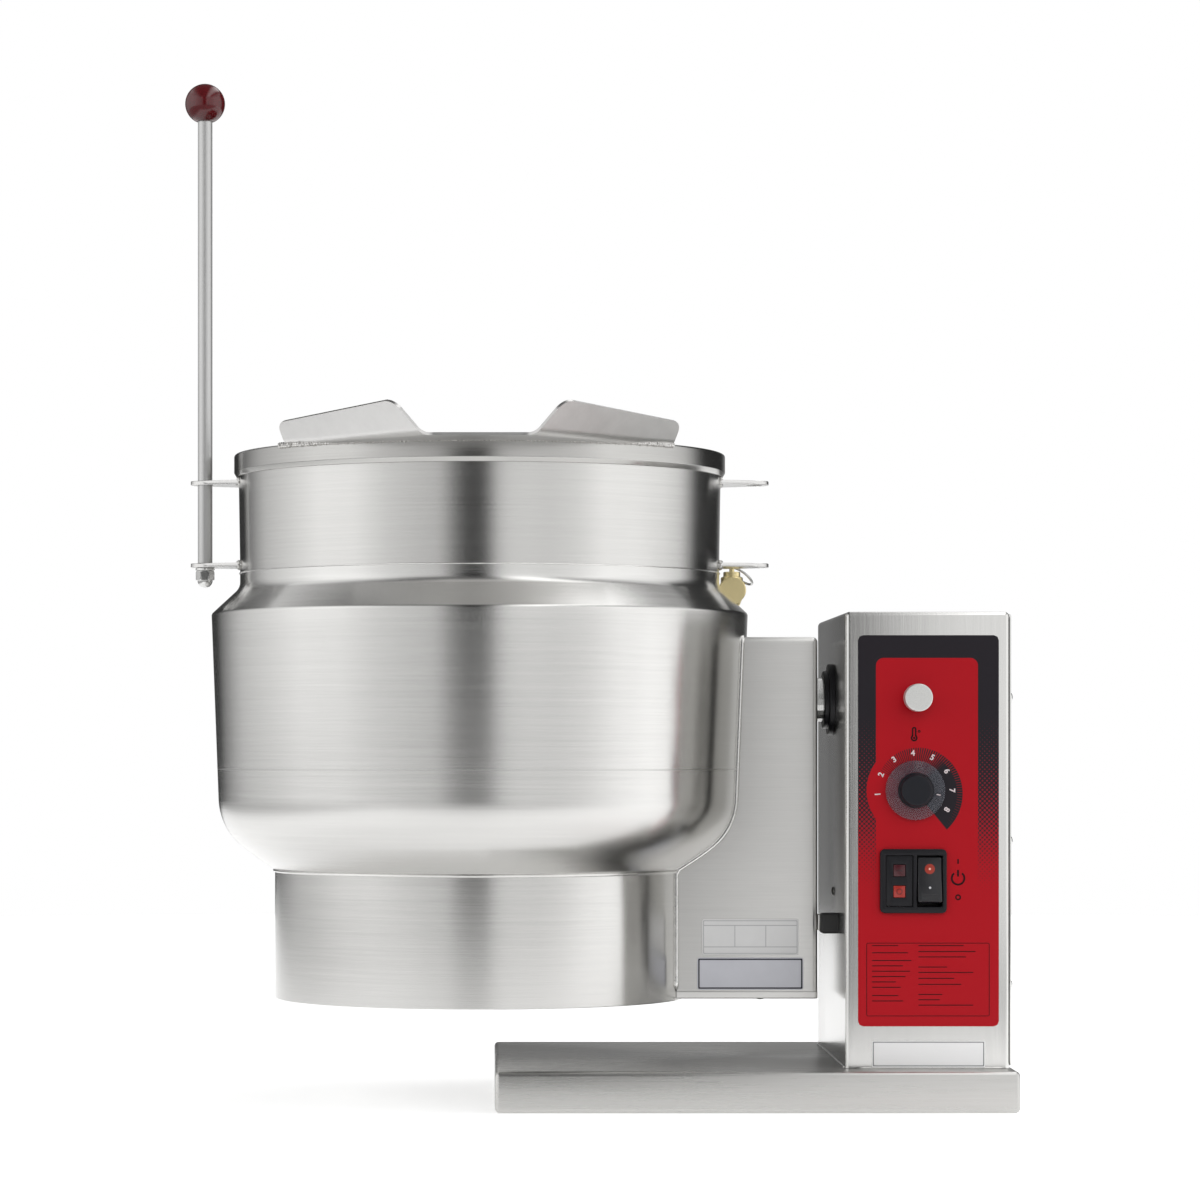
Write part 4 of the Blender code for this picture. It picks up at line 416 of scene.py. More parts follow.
TRAY_BEND, TRAY_SHEET, TRAY_FLANGE = 0.004, 0.002, 0.024
low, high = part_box("base_tray")
tray_size, tray_height = high - low, high.z
base_steel = brushed("base_steel", (18, 1100, 1100), colour=(0.56, 0.555, 0.54), rough=0.28, drawn=0.6)
tray_levels = [(None, tray_height - TRAY_SHEET), (TRAY_BEND, tray_height - TRAY_SHEET)]
tray_levels += [(TRAY_SHEET, tray_height - TRAY_BEND), (TRAY_SHEET, TRAY_SHEET)]
tray_levels += [(TRAY_FLANGE, TRAY_SHEET), (TRAY_FLANGE, 0)]
tray_levels += edge(TRAY_BEND, 0, upward=False) + edge(TRAY_BEND, tray_height) + [(None, tray_height)]
tray = skin("tray_sheet", base_steel, stack(tray_size.x, tray_size.y, TRAY_BEND, tray_levels))
fit(tray, "base", "brushed_steel", "base_tray")


# ------------------------ hidden structure
# Under the tray a zinc plated hat channel, and inside the console the welded bearing
# frame, its bushes, the wiring panel and what hangs on it. They keep their CAD shapes.
def plain(name, colour, rough, metal=0.0, grain=220.0, vary=0.14, bump=0.12, gloss=0.5):
    """A cast, plated, painted or moulded finish: one fine noise varies colour, roughness and relief."""
    made, shader, where = new_finish(name, {"Metallic": metal, "Specular IOR Level": gloss})
    speckle = where.noise(grain, 4.0, 0.6)
    patch = where.noise(grain * 0.07, 2.0, 0.5)
    blend = speckle * 0.5 + patch * 0.5
    feed(
        shader,
        Base_Color=blend.mix(*shades_of(colour, 1 - vary, 1 + vary)),
        Roughness=blend * 0.16 + (rough - 0.08),
        Normal=speckle.relief(bump),
    )
    return made


def repaint(material, *names):
    """CAD nodes that keep their shape take this finish."""
    for name in names:
        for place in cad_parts[name].material_slots:
            place.material = material


zinc = plain("zinc_plate", (0.50, 0.50, 0.47), 0.42, metal=1.0, grain=90)
repaint(zinc, "base_crossmember", "component_panel", "trunnion_bracket", "lock_collar", "end_collar", "latch_guide")
grey_paint = plain("grey_paint", (0.035, 0.036, 0.038), 0.45, grain=400)
repaint(grey_paint, "bearing_frame", "transformer")
bronze = plain("sintered_bronze", (0.48, 0.27, 0.11), 0.38, metal=1.0, grain=700)
repaint(bronze, "left_bush", "right_bush")
black_mould = plain("black_mould", (0.012, 0.012, 0.014), 0.34, grain=900, bump=0.08, gloss=0.3)
repaint(black_mould, "contactor", "thermostat_body", "switch_body")
white_mould = plain("white_mould", (0.62, 0.62, 0.57), 0.45, grain=500)
repaint(white_mould, "terminal_block")
ground_steel = brushed("ground_steel", (900, 30, 30), colour=(0.62, 0.62, 0.61), rough=0.22)
repaint(ground_steel, "trunnion_shaft", "latch_rod")
sprung_steel = plain("spring_wire", (0.55, 0.55, 0.54), 0.25, metal=1.0, grain=600)
repaint(sprung_steel, "heating_element")

# ------------------------ console
# Front, left side, rear and top are one folded sheet; a flat cover is screwed over the
# right side. The faces are brushed and paler than the base.
def closed_levels(radius, bottom, top, points=5):
    """Levels of a closed block with a sharp foot and a rounded upper edge."""
    return [(None, bottom), (0, bottom)] + edge(radius, top, points=points) + [(None, top)]


CONSOLE_BEND = 0.004
low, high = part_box("console_shell")
console_left, console_front, console_floor, console_top = low.x, low.y, low.z, high.z
console_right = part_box("console_side_cover")[1].x
console_steel = brushed(
    "console_steel", (900, 900, 18), colour=(0.69, 0.685, 0.67), rough=0.19, drawn=0.3, turn=UPRIGHT_GRAIN, spread=0.07
)
shell_levels = closed_levels(CONSOLE_BEND, console_floor, console_top)
shell = stack(high.x - low.x, high.y - low.y, CONSOLE_BEND, shell_levels)
shell = skin("console_sheet", console_steel, face(shell, "+Z", ((low.x + high.x) / 2, 0, 0)))


def baked(piece):
    """The piece's mesh with its modifiers applied, or a mesh of its letters."""
    bpy.context.view_layer.update()
    return bpy.data.meshes.new_from_object(piece.evaluated_get(bpy.context.evaluated_depsgraph_get()))


def carved(piece, low, high):
    """Sinks a pocket into a closed piece: a block with these corners is taken away from it."""
    corners = [(x, y, z) for x in (low[0], high[0]) for y in (low[1], high[1]) for z in (low[2], high[2])]
    sides = [(0, 1, 3, 2), (4, 6, 7, 5), (0, 4, 5, 1), (2, 3, 7, 6), (0, 2, 6, 4), (1, 5, 7, 3)]
    mesh = bpy.data.meshes.new("pocket")
    mesh.from_pydata(corners, [], sides)
    block = put("pocket", mesh)
    cut = piece.modifiers.new("Pocket", "BOOLEAN")
    cut.object, cut.operation, cut.solver = block, "DIFFERENCE", "EXACT"
    piece.data = baked(piece)
    piece.modifiers.clear()
    bpy.data.objects.remove(block)


POCKET_MARGIN, POCKET_DEPTH = 0.003, 0.034
window_low, window_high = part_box("switch_bezel")
carved(
    shell,
    (window_low.x + POCKET_MARGIN, console_front - 0.002, window_low.z + POCKET_MARGIN),
    (window_high.x - POCKET_MARGIN, console_front + POCKET_DEPTH, window_high.z - POCKET_MARGIN),
)
fit(shell, "base", "brushed_steel", "console_shell")

low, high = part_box("console_side_cover")
COVER_EDGE = 0.0005
cover = stack(high.y - low.y, high.z - low.z, CONSOLE_BEND, closed_levels(COVER_EDGE, low.x, high.x, points=2))
cover = skin("side_cover_sheet", console_steel, face(cover, "+X", (0, 0, (low.z + high.z) / 2)))
fit(cover, "base", "brushed_steel", "console_side_cover")


# Pan head screws of stainless hold the cover, and others stand on the console's left side.
def lathe(profile, steps):
    """A turned shape: each radius and height of the profile is carried round the upright axis."""
    profile = np.array(profile, float)
    angle = np.linspace(0, 2 * math.pi, steps, endpoint=False)
    radius, height = profile[:, 0, None], profile[:, 1, None]
    return np.stack([radius * np.cos(angle), radius * np.sin(angle), height + 0 * angle], axis=-1)


def eased(corners, radii, points=6):
    """A profile whose corners are replaced by arcs that touch both neighbouring lines."""
    corners = [np.array(corner, float) for corner in corners]
    made = [corners[0]]
    for before, corner, after, radius in zip(corners, corners[1:], corners[2:], radii):
        if not radius:
            made.append(corner)
            continue
        back, ahead = before - corner, after - corner
        back, ahead = back / np.linalg.norm(back), ahead / np.linalg.norm(ahead)
        half = math.acos(max(-1, min(1, float(back @ ahead)))) / 2
        middle = corner + (back + ahead) / np.linalg.norm(back + ahead) * radius / math.sin(half)
        start, end = corner + back * radius / math.tan(half), corner + ahead * radius / math.tan(half)
        for share in np.linspace(0, 1, points + 1):
            spoke = (start - middle) * (1 - share) + (end - middle) * share
            made.append(middle + spoke / np.linalg.norm(spoke) * radius)
    return made + [corners[-1]]


def dome(radius, height, points=7):
    """A screw head's profile, from its crown down to its rim: part of an ellipse."""
    angle = np.radians(np.linspace(0, 82, points))
    return [(radius * math.sin(turn), height * math.cos(turn)) for turn in angle] + [(radius, 0.0003), (0, 0.0003)]


bright_steel = brushed("bright_steel", (500, 500, 500), colour=(0.70, 0.70, 0.69), rough=0.20, depth=0.1)
for number in (1, 2, 3):
    low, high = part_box(f"side_screw_{number}")
    middle = (low + high) / 2
    head = lathe(dome((high.z - low.z) / 2, high.x - console_right), 48)
    head = skin(f"side_screw_head_{number}", bright_steel, face(head, "+X", (console_right, middle.y, middle.z)))
    fit(head, "base", "bright_steel", f"side_screw_{number}")

SMALL_BOLT, BOLT_CROWN = 0.0042, 0.0024
for number, (depth, height) in enumerate(((0.060, 0.3590), (-0.030, 0.1800)), start=1):
    head = face(lathe(dome(SMALL_BOLT, BOLT_CROWN), 40), "-X", (console_left, depth, height))
    fit(skin(f"console_bolt_{number}", bright_steel, head), "base", "bright_steel")


# A bead of clear sealant with a bright surface closes the joint between console and tray.
def bead(path, radius, pitch=0.0, swell=0.0, sides=10, up=(0, 0, 1), seed=1):
    """A tube along a path. Its radius swells once every pitch and a little at random, as a weld does,
    and both its ends taper to a point."""
    path = np.array(path, float)
    ahead = np.gradient(path, axis=0)
    ahead /= np.linalg.norm(ahead, axis=1)[:, None]
    side = np.cross(np.array(up, float), ahead)
    side /= np.linalg.norm(side, axis=1)[:, None]
    over = np.cross(ahead, side)
    length = np.concatenate([[0], np.cumsum(np.linalg.norm(np.diff(path, axis=0), axis=1))])
    drawn = np.random.default_rng(seed).normal(size=len(path))
    size = radius * np.ones(len(path))
    if pitch:
        size *= 1 + swell * np.sin(2 * math.pi * length / pitch) + 0.5 * swell * drawn
    size[[0, -1]] = 0
    angle = np.linspace(0, 2 * math.pi, sides, endpoint=False)
    round_it = np.cos(angle)[None, :, None] * side[:, None] + np.sin(angle)[None, :, None] * over[:, None]
    return path[:, None] + size[:, None, None] * round_it


weld_steel = plain("weld_bead", (0.74, 0.735, 0.72), 0.22, metal=1.0, grain=500, bump=0.3)
run = np.linspace(-console_front - 0.006, console_front + 0.006, 60)
left_joint = np.column_stack([0 * run + console_left, run, 0 * run + console_floor + 0.0004])
run = np.linspace(console_left + 0.006, console_right - 0.006, 30)
front_joint = np.column_stack([run, 0 * run + console_front, 0 * run + console_floor + 0.0004])
beads = bead(left_joint, 0.0013, 0.004, 0.06), bead(front_joint, 0.0009, 0.004, 0.06)
fit(skin("console_joint_bead", weld_steel, *beads), "base", "brushed_steel")

# ------------------------ bearing flange and bumper
# A stepped black flange covers the hole where the trunnion enters the console. Below it
# a rubber block stops the arm when the kettle swings back upright.
low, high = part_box("bearing_flange")
flange_middle = (console_left, (low.y + high.y) / 2, (low.z + high.z) / 2)
FLANGE_BORE = 0.0195
FLANGE_PLATE, FLANGE_OUT = 0.0048, console_left - low.x
black_rubber = plain("black_rubber", (0.014, 0.014, 0.014), 0.55, grain=700, bump=0.3)
corners = [(FLANGE_BORE, 0.0003), (FLANGE_BORE, FLANGE_OUT), (0.0250, FLANGE_OUT), (0.0250, FLANGE_PLATE)]
corners += [(0.0310, FLANGE_PLATE), (0.0310, 0.0003), (FLANGE_BORE, 0.0003)]
flange = lathe(eased(corners, (0.0006, 0.0012, 0.0006, 0.0012, 0)), 96)
fit(skin("flange_ring", black_mould, face(flange, "-X", flange_middle)), "base", "black_plastic", "bearing_flange")

low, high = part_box("stop_bumper")
BUMPER_EDGE = 0.0028
block = stack(high.y - low.y, high.z - low.z, BUMPER_EDGE, closed_levels(BUMPER_EDGE, 0, high.x - low.x))
bumper = skin("rubber_stop", black_rubber, face(block, "-X", (high.x, (low.y + high.y) / 2, (low.z + high.z) / 2)))
fit(bumper, "base", "rubber", "stop_bumper")

# ------------------------ control overlay
# A thin printed film on the console's front: a red field in a black border that turns to
# red downwards through a lattice of dots, and a dark scale that grows round the dial.
OVERLAY_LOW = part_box("control_overlay")[0]
FIELD_LEFT, FIELD_RIGHT, FIELD_TOP, FIELD_CORNER = 0.1014, 0.1871, 0.3800, 0.0065
DOT_PITCH, DOTS_FROM, DOTS_TO = 0.0027, 0.3400, 0.1680
dial_low, dial_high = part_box("dial_skirt")
DIAL_X, DIAL_Z = (dial_low.x + dial_high.x) / 2, (dial_low.z + dial_high.z) / 2
BULGE_RADIUS = 0.0405
SCALE_START, SCALE_END = -62, 142
SCALE_IN, SCALE_GROW = 0.0328, 0.0098
PRINT_RED, PRINT_BLACK, DOT_COLOUR = seen(178, 10, 26), seen(34, 30, 36), seen(112, 26, 42)

SOFT_EDGE = 0.0002
film, film_shader, place = new_finish("printed_film", {"IOR": 1.45, "Specular IOR Level": 0.25})
px, _, pz = place.parts()


def inside_box(x, z, left, right, bottom, top, corner):
    """1 inside a rectangle with round corners: distance to the smaller rectangle, less the corner."""
    out_x = (x - (left + right) / 2).math("ABSOLUTE") - ((right - left) / 2 - corner)
    out_z = (z - (bottom + top) / 2).math("ABSOLUTE") - ((top - bottom) / 2 - corner)
    out_x, out_z = out_x.math("MAXIMUM", 0.0), out_z.math("MAXIMUM", 0.0)
    return (out_x.span(out_z) - corner).step(SOFT_EDGE, -SOFT_EDGE)


def framed(x, z, low, high, border, corner):
    """1 inside the rectangle that lies within a border of a plate's edges."""
    return inside_box(x, z, low.x + border, high.x - border, low.z + border, high.z - border, corner)


dial_x, dial_z = px - DIAL_X, pz - DIAL_Z
dial_reach = dial_x.span(dial_z)
clock = dial_x.math("ARCTAN2", dial_z)
field = inside_box(px, pz, FIELD_LEFT, FIELD_RIGHT, 0.0, FIELD_TOP, FIELD_CORNER)
field = field.math("MAXIMUM", (dial_reach - BULGE_RADIUS).step(SOFT_EDGE, -SOFT_EDGE))
DIAGONAL = 0.7071 / DOT_PITCH
along, across = (px + pz) * DIAGONAL, (px - pz) * DIAGONAL
cell_x, cell_z = along.math("FRACT") - 0.5, across.math("FRACT") - 0.5
dot_reach = cell_x.span(cell_z)
fade = (pz - DOTS_FROM) * (1 / (DOTS_TO - DOTS_FROM))
dots = (dot_reach - fade.math("MULTIPLY", 0.72, clamp=True)).step(0.05, -0.05) * fade.step(0.0, 0.12)
border = dots.mix(PRINT_BLACK, fade.step(0.1, 0.95).mix(DOT_COLOUR, PRINT_RED))
# The scale's outer edge is a spiral: its radius grows with the clock angle from ten to five.
clock_share = (clock - math.radians(SCALE_START)) * (1 / math.radians(SCALE_END - SCALE_START))
spiral = clock_share * SCALE_GROW + SCALE_IN
on_scale = (dial_reach - spiral).step(SOFT_EDGE, -SOFT_EDGE) * clock_share.step(0.0, 0.01) * clock_share.step(1.0, 0.99)
RAY_PITCH = math.radians(3.2)
rays = (clock * (1 / RAY_PITCH)).math("FRACT") - 0.5
ray_width = clock_share * 0.40 + 0.13
lines = (rays.math("ABSOLUTE") - ray_width).step(0.05, -0.05)
tip = (dial_reach - (spiral - 0.0050)).step(0.0, 0.0010)
solid = (clock_share - 0.44).step(0.0, 0.12) * (1 - tip * 0.60)
scale = on_scale * lines.math("MAXIMUM", solid)
ink = scale.mix(field.mix(border, PRINT_RED), PRINT_BLACK)
grain = place.noise(1500.0, 2.0, 0.5)
feed(
    film_shader,
    Base_Color=ink,
    Roughness=grain * 0.10 + 0.34,
    Normal=grain.relief(0.12, 0.0001),
)
repaint(film, "control_overlay")


# The panel's other marks are thin dark or pale ink: a thermometer, a power sign, strokes for
# on and off, a frame with plain ruled lines, and numbers round the dial.
INK_LIFT = 0.00012


def stroke(points, width, closed=False):
    """A flat line of ink on the film: its middle line moved half its width to each side, with a
    top face and a low wall round it. Open ends close to their middle."""
    points = np.array(points, float)
    if closed:
        points = np.vstack([points, points[:2]])
    ahead = np.gradient(points, axis=0)
    if closed:
        ahead[0], ahead[-1] = ahead[-2], ahead[1]
    ahead /= np.linalg.norm(ahead, axis=1)[:, None]
    side = np.stack([-ahead[:, 1], ahead[:, 0]], axis=-1) * width / 2
    if closed:
        points, side = points[:-1], side[:-1]
    rails = (points + side, 0.0), (points + side, INK_LIFT), (points - side, INK_LIFT), (points - side, 0.0)
    depths = [np.full(len(points), OVERLAY_LOW.y - lift) for _, lift in rails]
    rails = [np.column_stack([rail[:, 0], depth, rail[:, 1]]) for (rail, _), depth in zip(rails, depths)]
    grid = np.stack(rails, axis=1)
    if closed:
        return grid
    ends = [grid[place].mean(axis=1, keepdims=True).repeat(4, 1) for place in (slice(0, 1), slice(-1, None))]
    return np.concatenate([ends[0], grid, ends[1]])


def arc(radius, start, end, points=28, x=0.0, z=0.0):
    """Points on part of a circle; angles in degrees, anticlockwise from the right."""
    angle = np.radians(np.linspace(start, end, points))
    return np.column_stack([x + radius * np.cos(angle), z + radius * np.sin(angle)])


dark_ink = plain("dark_ink", seen(36, 8, 14), 0.5, grain=900, gloss=0.15)
pale_ink = plain("pale_ink", seen(226, 214, 216), 0.4, grain=900)
THERMOMETER, POWER, PANEL_TEXT = (DIAL_X - 0.0006, DIAL_Z + 0.0440), (0.1704, 0.1948), (0.1451, 0.1097)
# Each mark: the place it is drawn round, its width, whether it closes, and its middle line.
strokes = (
    (THERMOMETER, 0.0014, False, arc(0.0022, 122, 418)),
    (THERMOMETER, 0.0010, True, arc(0.0005, 0, 350, 24)),
    (THERMOMETER, 0.0013, False, [(-0.0013, 0.0016), *arc(0.0013, 180, 0, 9, z=0.0074), (0.0013, 0.0016)]),
    (THERMOMETER, 0.0008, True, arc(0.0008, 0, 345, 14, 0.0042, 0.0056)),
    (POWER, 0.0016, False, arc(0.0053, 128, 412)),
    (POWER, 0.0016, False, [(0, 0.0014), (0, 0.0070)]),
    (POWER, 0.0013, False, [(0, 0.0122), (0, 0.0162)]),
    (POWER, 0.0012, True, arc(0.0019, 0, 350, z=-0.0160)),
    (PANEL_TEXT, 0.0005, True, outline(0.1030, 0.0612, 0.0012, 4)),
)
marks = [stroke(np.array(points) + middle, width, closed) for middle, width, closed, points in strokes]
# Ruled lines stand for the panel's text: the left end of each group, then heights and lengths.
RULED = (
    (-0.0470, (0.0285, 0.0225), (0.022, 0.030)),
    (-0.0470, (0.0160, 0.0115, 0.0070, 0.0025, -0.0020, -0.0065), (0.033, 0.026, 0.032, 0.028, 0.020, 0.024)),
    (-0.0470, (-0.0135, -0.0180), (0.022, 0.026)),
    (-0.0080, (0.0285, 0.0235, 0.0190), (0.038, 0.048, 0.040)),
    (-0.0080, (0.0105, 0.0060, 0.0010, -0.0040), (0.024, 0.046, 0.030, 0.036)),
    (-0.0080, (-0.0125, -0.0170, -0.0215), (0.020, 0.018, 0.046)),
)
for left, rises, lengths in RULED:
    for rise, length in zip(rises, lengths):
        marks.append(stroke(np.array([(left, rise), (left + length, rise)]) + PANEL_TEXT, 0.0007))
fit(skin("dark_marks", dark_ink, *marks, sharp=60), "base", "red_overlay")

NUMBER_REACH, NUMBER_SIZE = 0.0312, 0.0066
work = bmesh.new()
for number, degrees in enumerate(range(-96, 124, 31), start=1):
    text = bpy.data.curves.new("dial_number", "FONT")
    text.body, text.align_x, text.align_y = str(number), "CENTER", "CENTER"
    text.size, text.extrude, text.offset = NUMBER_SIZE, 0.00008, 0.00020
    letter = put("dial_number", text)
    mesh = baked(letter)
    bpy.data.objects.remove(letter)
    angle = math.radians(degrees)
    aside, above = NUMBER_REACH * math.sin(angle), NUMBER_REACH * math.cos(angle)
    place = Matrix.Translation((DIAL_X + aside, OVERLAY_LOW.y - 0.0001, DIAL_Z + above))
    mesh.transform(place @ Matrix.Rotation(angle, 4, "Y") @ Matrix.Rotation(math.pi / 2, 4, "X"))
    work.from_mesh(mesh)
bmesh.ops.remove_doubles(work, verts=work.verts, dist=0.000001)
bmesh.ops.recalc_face_normals(work, faces=work.faces)
numbers_mesh = bpy.data.meshes.new("dial_numbers")
work.to_mesh(numbers_mesh)
work.free()
numbers_mesh.materials.append(pale_ink)
fit(put("dial_numbers", numbers_mesh), "base", "red_overlay")


# ------------------------ name plate
# A small plate of pale anodised sheet with a dark line round its edge, left bare.
def softened(name, node, material, radius, segments=2):
    """A CAD node's own solid with its edges rounded: a copy is merged, its flat faces are joined,
    and a Bevel rounds what is left."""
    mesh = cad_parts[node].data.copy()
    mesh.name = name
    work = bmesh.new()
    work.from_mesh(mesh)
    bmesh.ops.remove_doubles(work, verts=work.verts, dist=0.000005)
    bmesh.ops.dissolve_limit(work, angle_limit=math.radians(1), verts=work.verts, edges=work.edges)
    work.to_mesh(mesh)
    work.free()
    mesh.materials.clear()
    mesh.materials.append(material)
    for polygon in mesh.polygons:
        polygon.material_index = 0
    made = put(name, mesh)
    bevel = made.modifiers.new("Edges", "BEVEL")
    bevel.width, bevel.segments = radius, segments
    bevel.limit_method, bevel.angle_limit = "ANGLE", math.radians(40)
    bevel.harden_normals = True
    mesh.shade_smooth()
    return made


low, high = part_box("name_plate")
plate_finish, plate_shader, place = new_finish("bare_plate")
plate_x, _, plate_z = place.parts()
inner = framed(plate_x, plate_z, low, high, 0.0016, 0.0006)
rim = framed(plate_x, plate_z, low, high, 0.0009, 0.0008)
satin = place.stretched(1.0, 1.0, 60.0).noise(60.0, 3.0, 0.6)
feed(
    plate_shader,
    Base_Color=(rim * (1 - inner)).mix(satin.mix(seen(244, 244, 244), seen(252, 252, 252)), seen(96, 96, 100)),
    Roughness=satin * 0.12 + 0.32,
)
fit(softened("name_plate_sheet", "name_plate", plate_finish, 0.0002), "base", "bare_label", "name_plate")

# ------------------------ latch
# A turned aluminium pull knob on a ground steel rod, which slides in a bush through the
# panel against a coil spring.
low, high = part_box("latch_knob")
latch_middle = ((low.x + high.x) / 2, high.y, (low.z + high.z) / 2)
KNOB_RADIUS, KNOB_LENGTH = (high.x - low.x) / 2, high.y - low.y
turned_aluminium, aluminium_shader, place = new_finish("turned_aluminium", {"Metallic": 0.75})
face_x, _, face_z = place.parts()
TURNING_GROOVES = 9000.0
rings = ((face_x - latch_middle[0]).span(face_z - latch_middle[2]) * TURNING_GROOVES).math("SINE")
aluminium_grain = place.noise(900.0, 3.0, 0.6)
feed(
    aluminium_shader,
    Base_Color=(rings * 0.2 + aluminium_grain).mix(seen(206, 206, 203), seen(240, 240, 238)),
    Roughness=aluminium_grain * 0.15 + 0.42,
    Normal=rings.relief(0.05, 0.0001),
)
knob = eased([(0, KNOB_LENGTH), (KNOB_RADIUS, KNOB_LENGTH), (KNOB_RADIUS, 0), (0, 0)], (0.0011, 0.0004), 5)
knob = skin("pull_knob", turned_aluminium, face(lathe(knob, 96), "-Y", latch_middle))
fit(knob, "latch", "aluminium", "latch_knob")

# Behind the panel a coil spring draws the knob back in. Its front end rests on the guide and its rear end on the rod's
# collar.
SPRING_WIRE, SPRING_TURNS = 0.0006, 6
low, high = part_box("latch_spring")
spring_x, spring_z, coil_radius = (low.x + high.x) / 2, (low.z + high.z) / 2, (high.x - low.x) / 2 - SPRING_WIRE
turned = np.linspace(0, 2 * math.pi * SPRING_TURNS, 40 * SPRING_TURNS)
coil = np.column_stack([
    spring_x + coil_radius * np.cos(turned),
    np.linspace(low.y + SPRING_WIRE, high.y - SPRING_WIRE, len(turned)),
    spring_z + coil_radius * np.sin(turned),
])
spring = skin("latch_coil", sprung_steel, bead(coil, SPRING_WIRE, up=(0, 1, 0)))
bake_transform(spring)
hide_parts("latch_spring")

# ------------------------ thermostat knob
# A moulded black cap in front of a clear smoky skirt, which shows the scale through it and
# carries one pale pointer line. Both turn together.
SKIRT_RADIUS, SKIRT_NECK = (dial_high.x - dial_low.x) / 2, 0.0150
CAP_RADIUS, CAP_TIP = 0.0138, 0.0128
DIAL_FACE, base_lift = -0.1415, 0.0047
dial_place = (DIAL_X, DIAL_FACE, DIAL_Z)
cap_black = plain("cap_black", seen(27, 28, 34), 0.42, grain=1100, vary=0.08, bump=0.03, gloss=0.25)
corners = [(0, base_lift + 0.0135), (CAP_TIP, base_lift + 0.0135), (CAP_RADIUS, base_lift + 0.0063)]
corners += [(SKIRT_NECK - 0.0003, base_lift + rise) for rise in (0.0061, 0.0013)] + [(0, base_lift + 0.0013)]
cap = skin("knob_cap", cap_black, face(lathe(eased(corners, (0.0016, 0.0003, 0.0003, 0)), 96), "-Y", dial_place))
fit(cap, "thermostat_knob", "black_plastic", "dial_cap")

smoky, smoky_shader, place = new_finish("smoky_acrylic", {"Roughness": 0.10, "IOR": 1.49})
haze = place.noise(40.0, 2.0, 0.5)
feed(smoky_shader, Base_Color=haze.mix(seen(78, 80, 90), seen(92, 94, 104)), Alpha=haze * 0.04 + 0.32)
skirt_bore, skirt_brim = SKIRT_NECK - 0.0006, SKIRT_RADIUS - 0.0012
corners = [(skirt_bore, 0.0012), (SKIRT_NECK, 0.0060), (SKIRT_RADIUS, 0.0014), (SKIRT_RADIUS, -0.0012)]
corners += [(skirt_brim, -0.0012), (skirt_brim, 0), (skirt_bore, 0), (skirt_bore, 0.0012)]
corners = [(radius, base_lift + rise) for radius, rise in corners]
skirt_ring = lathe(eased(corners, (0.0004, 0.0003, 0, 0, 0, 0), 4), 120)
skirt_ring = skin("knob_skirt", smoky, face(skirt_ring, "-Y", dial_place))
fit(skirt_ring, "thermostat_knob", "smoky_plastic", "dial_skirt")

POINTER_CLOCK = math.radians(101)
pointer_ends = [
    (
        DIAL_X + reach_out * math.sin(POINTER_CLOCK), DIAL_FACE - base_lift - rise - 0.0003,
        DIAL_Z + reach_out * math.cos(POINTER_CLOCK),
    )
    for reach_out, rise in ((SKIRT_NECK + 0.0022, 0.0055), (SKIRT_RADIUS - 0.0036, 0.0034))
]
pointer = bead(np.linspace(*pointer_ends, 6), 0.00045, sides=8, up=(0, 1, 0))
pointer = skin("pointer_line", pale_ink, pointer)
fit(pointer, "thermostat_knob", "smoky_plastic")

# ------------------------ double switch
# A black frame snapped into the panel. Its left half holds two square lenses, the lower one
# lit; its right half holds a rocker with a lamp, a pale dot and grip ribs.
switch_black = plain("switch_black", seen(24, 24, 28), 0.40, grain=1000, bump=0.05, gloss=0.25)
for name, node, radius in (("switch_frame", "switch_bezel", 0.0007), ("indicator_block", "indicator_body", 0.0003)):
    fit(softened(name, node, switch_black, radius), "base", "black_plastic", node)


def lens_finish(name, node, glow_colour, dull_colour, strength, sign):
    """A square lens with a darker sign at its middle: a ring or a bar."""
    low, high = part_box(node)
    made, shader, place = new_finish(name, {"Roughness": 0.25, "IOR": 1.5})
    x, _, z = place.parts()
    away_x, away_z = x - (low.x + high.x) / 2, z - (low.z + high.z) / 2
    if sign == "ring":
        shape = away_x.span(away_z).line(0.0022, 0.0004, 0.0002)
    else:
        shape = away_z.line(0.0, 0.0006, 0.0002) * away_x.line(0.0, 0.0024, 0.0002)
    haze = place.noise(700.0, 2.0, 0.5)
    tone = (shape * 0.75 + haze * 0.25).mix(glow_colour, dull_colour)
    feed(shader, Base_Color=tone, Emission_Color=tone)
    shader.inputs["Emission Strength"].default_value = strength
    return made


dark_lens = lens_finish("dark_lens", "upper_lens", seen(72, 20, 28), seen(48, 18, 24), 0.03, "bar")
lit_lens = lens_finish("lit_lens", "lower_lens", seen(160, 44, 34), seen(96, 24, 24), 0.15, "ring")
fit(softened("upper_lens_block", "upper_lens", dark_lens, 0.0004), "base", "dark_lens", "upper_lens")
fit(softened("lower_lens_block", "lower_lens", lit_lens, 0.0004), "base", "orange_lens", "lower_lens")

rocker_low, rocker_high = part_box("rocker")
rocker_x, rocker_z = (rocker_low.x + rocker_high.x) / 2, (rocker_low.z + rocker_high.z) / 2
rocker_finish, rocker_shader, place = new_finish("rocker_face", {"IOR": 1.5})
x, y, z = place.parts()
lamp_x, lamp_z = x - rocker_x, z - (rocker_z + 0.0095)
lamp_reach = lamp_x.span(lamp_z)
lamp = (lamp_reach - 0.0042).step(0.0004, -0.0004)
heart = (lamp_reach - 0.0006).step(0.0008, -0.0003)
dot_z = z - (rocker_z - 0.0062)
dot = (lamp_x.span(dot_z) - 0.0009).step(0.0003, -0.0002)
rib_zone = (z - (rocker_z - 0.0110)).step(0.0004, -0.0004) * lamp_x.line(0.0, 0.0070, 0.0004, -0.0004)
ribs = (z * 5200.0).math("SINE") * rib_zone
haze = place.noise(900.0, 3.0, 0.6)
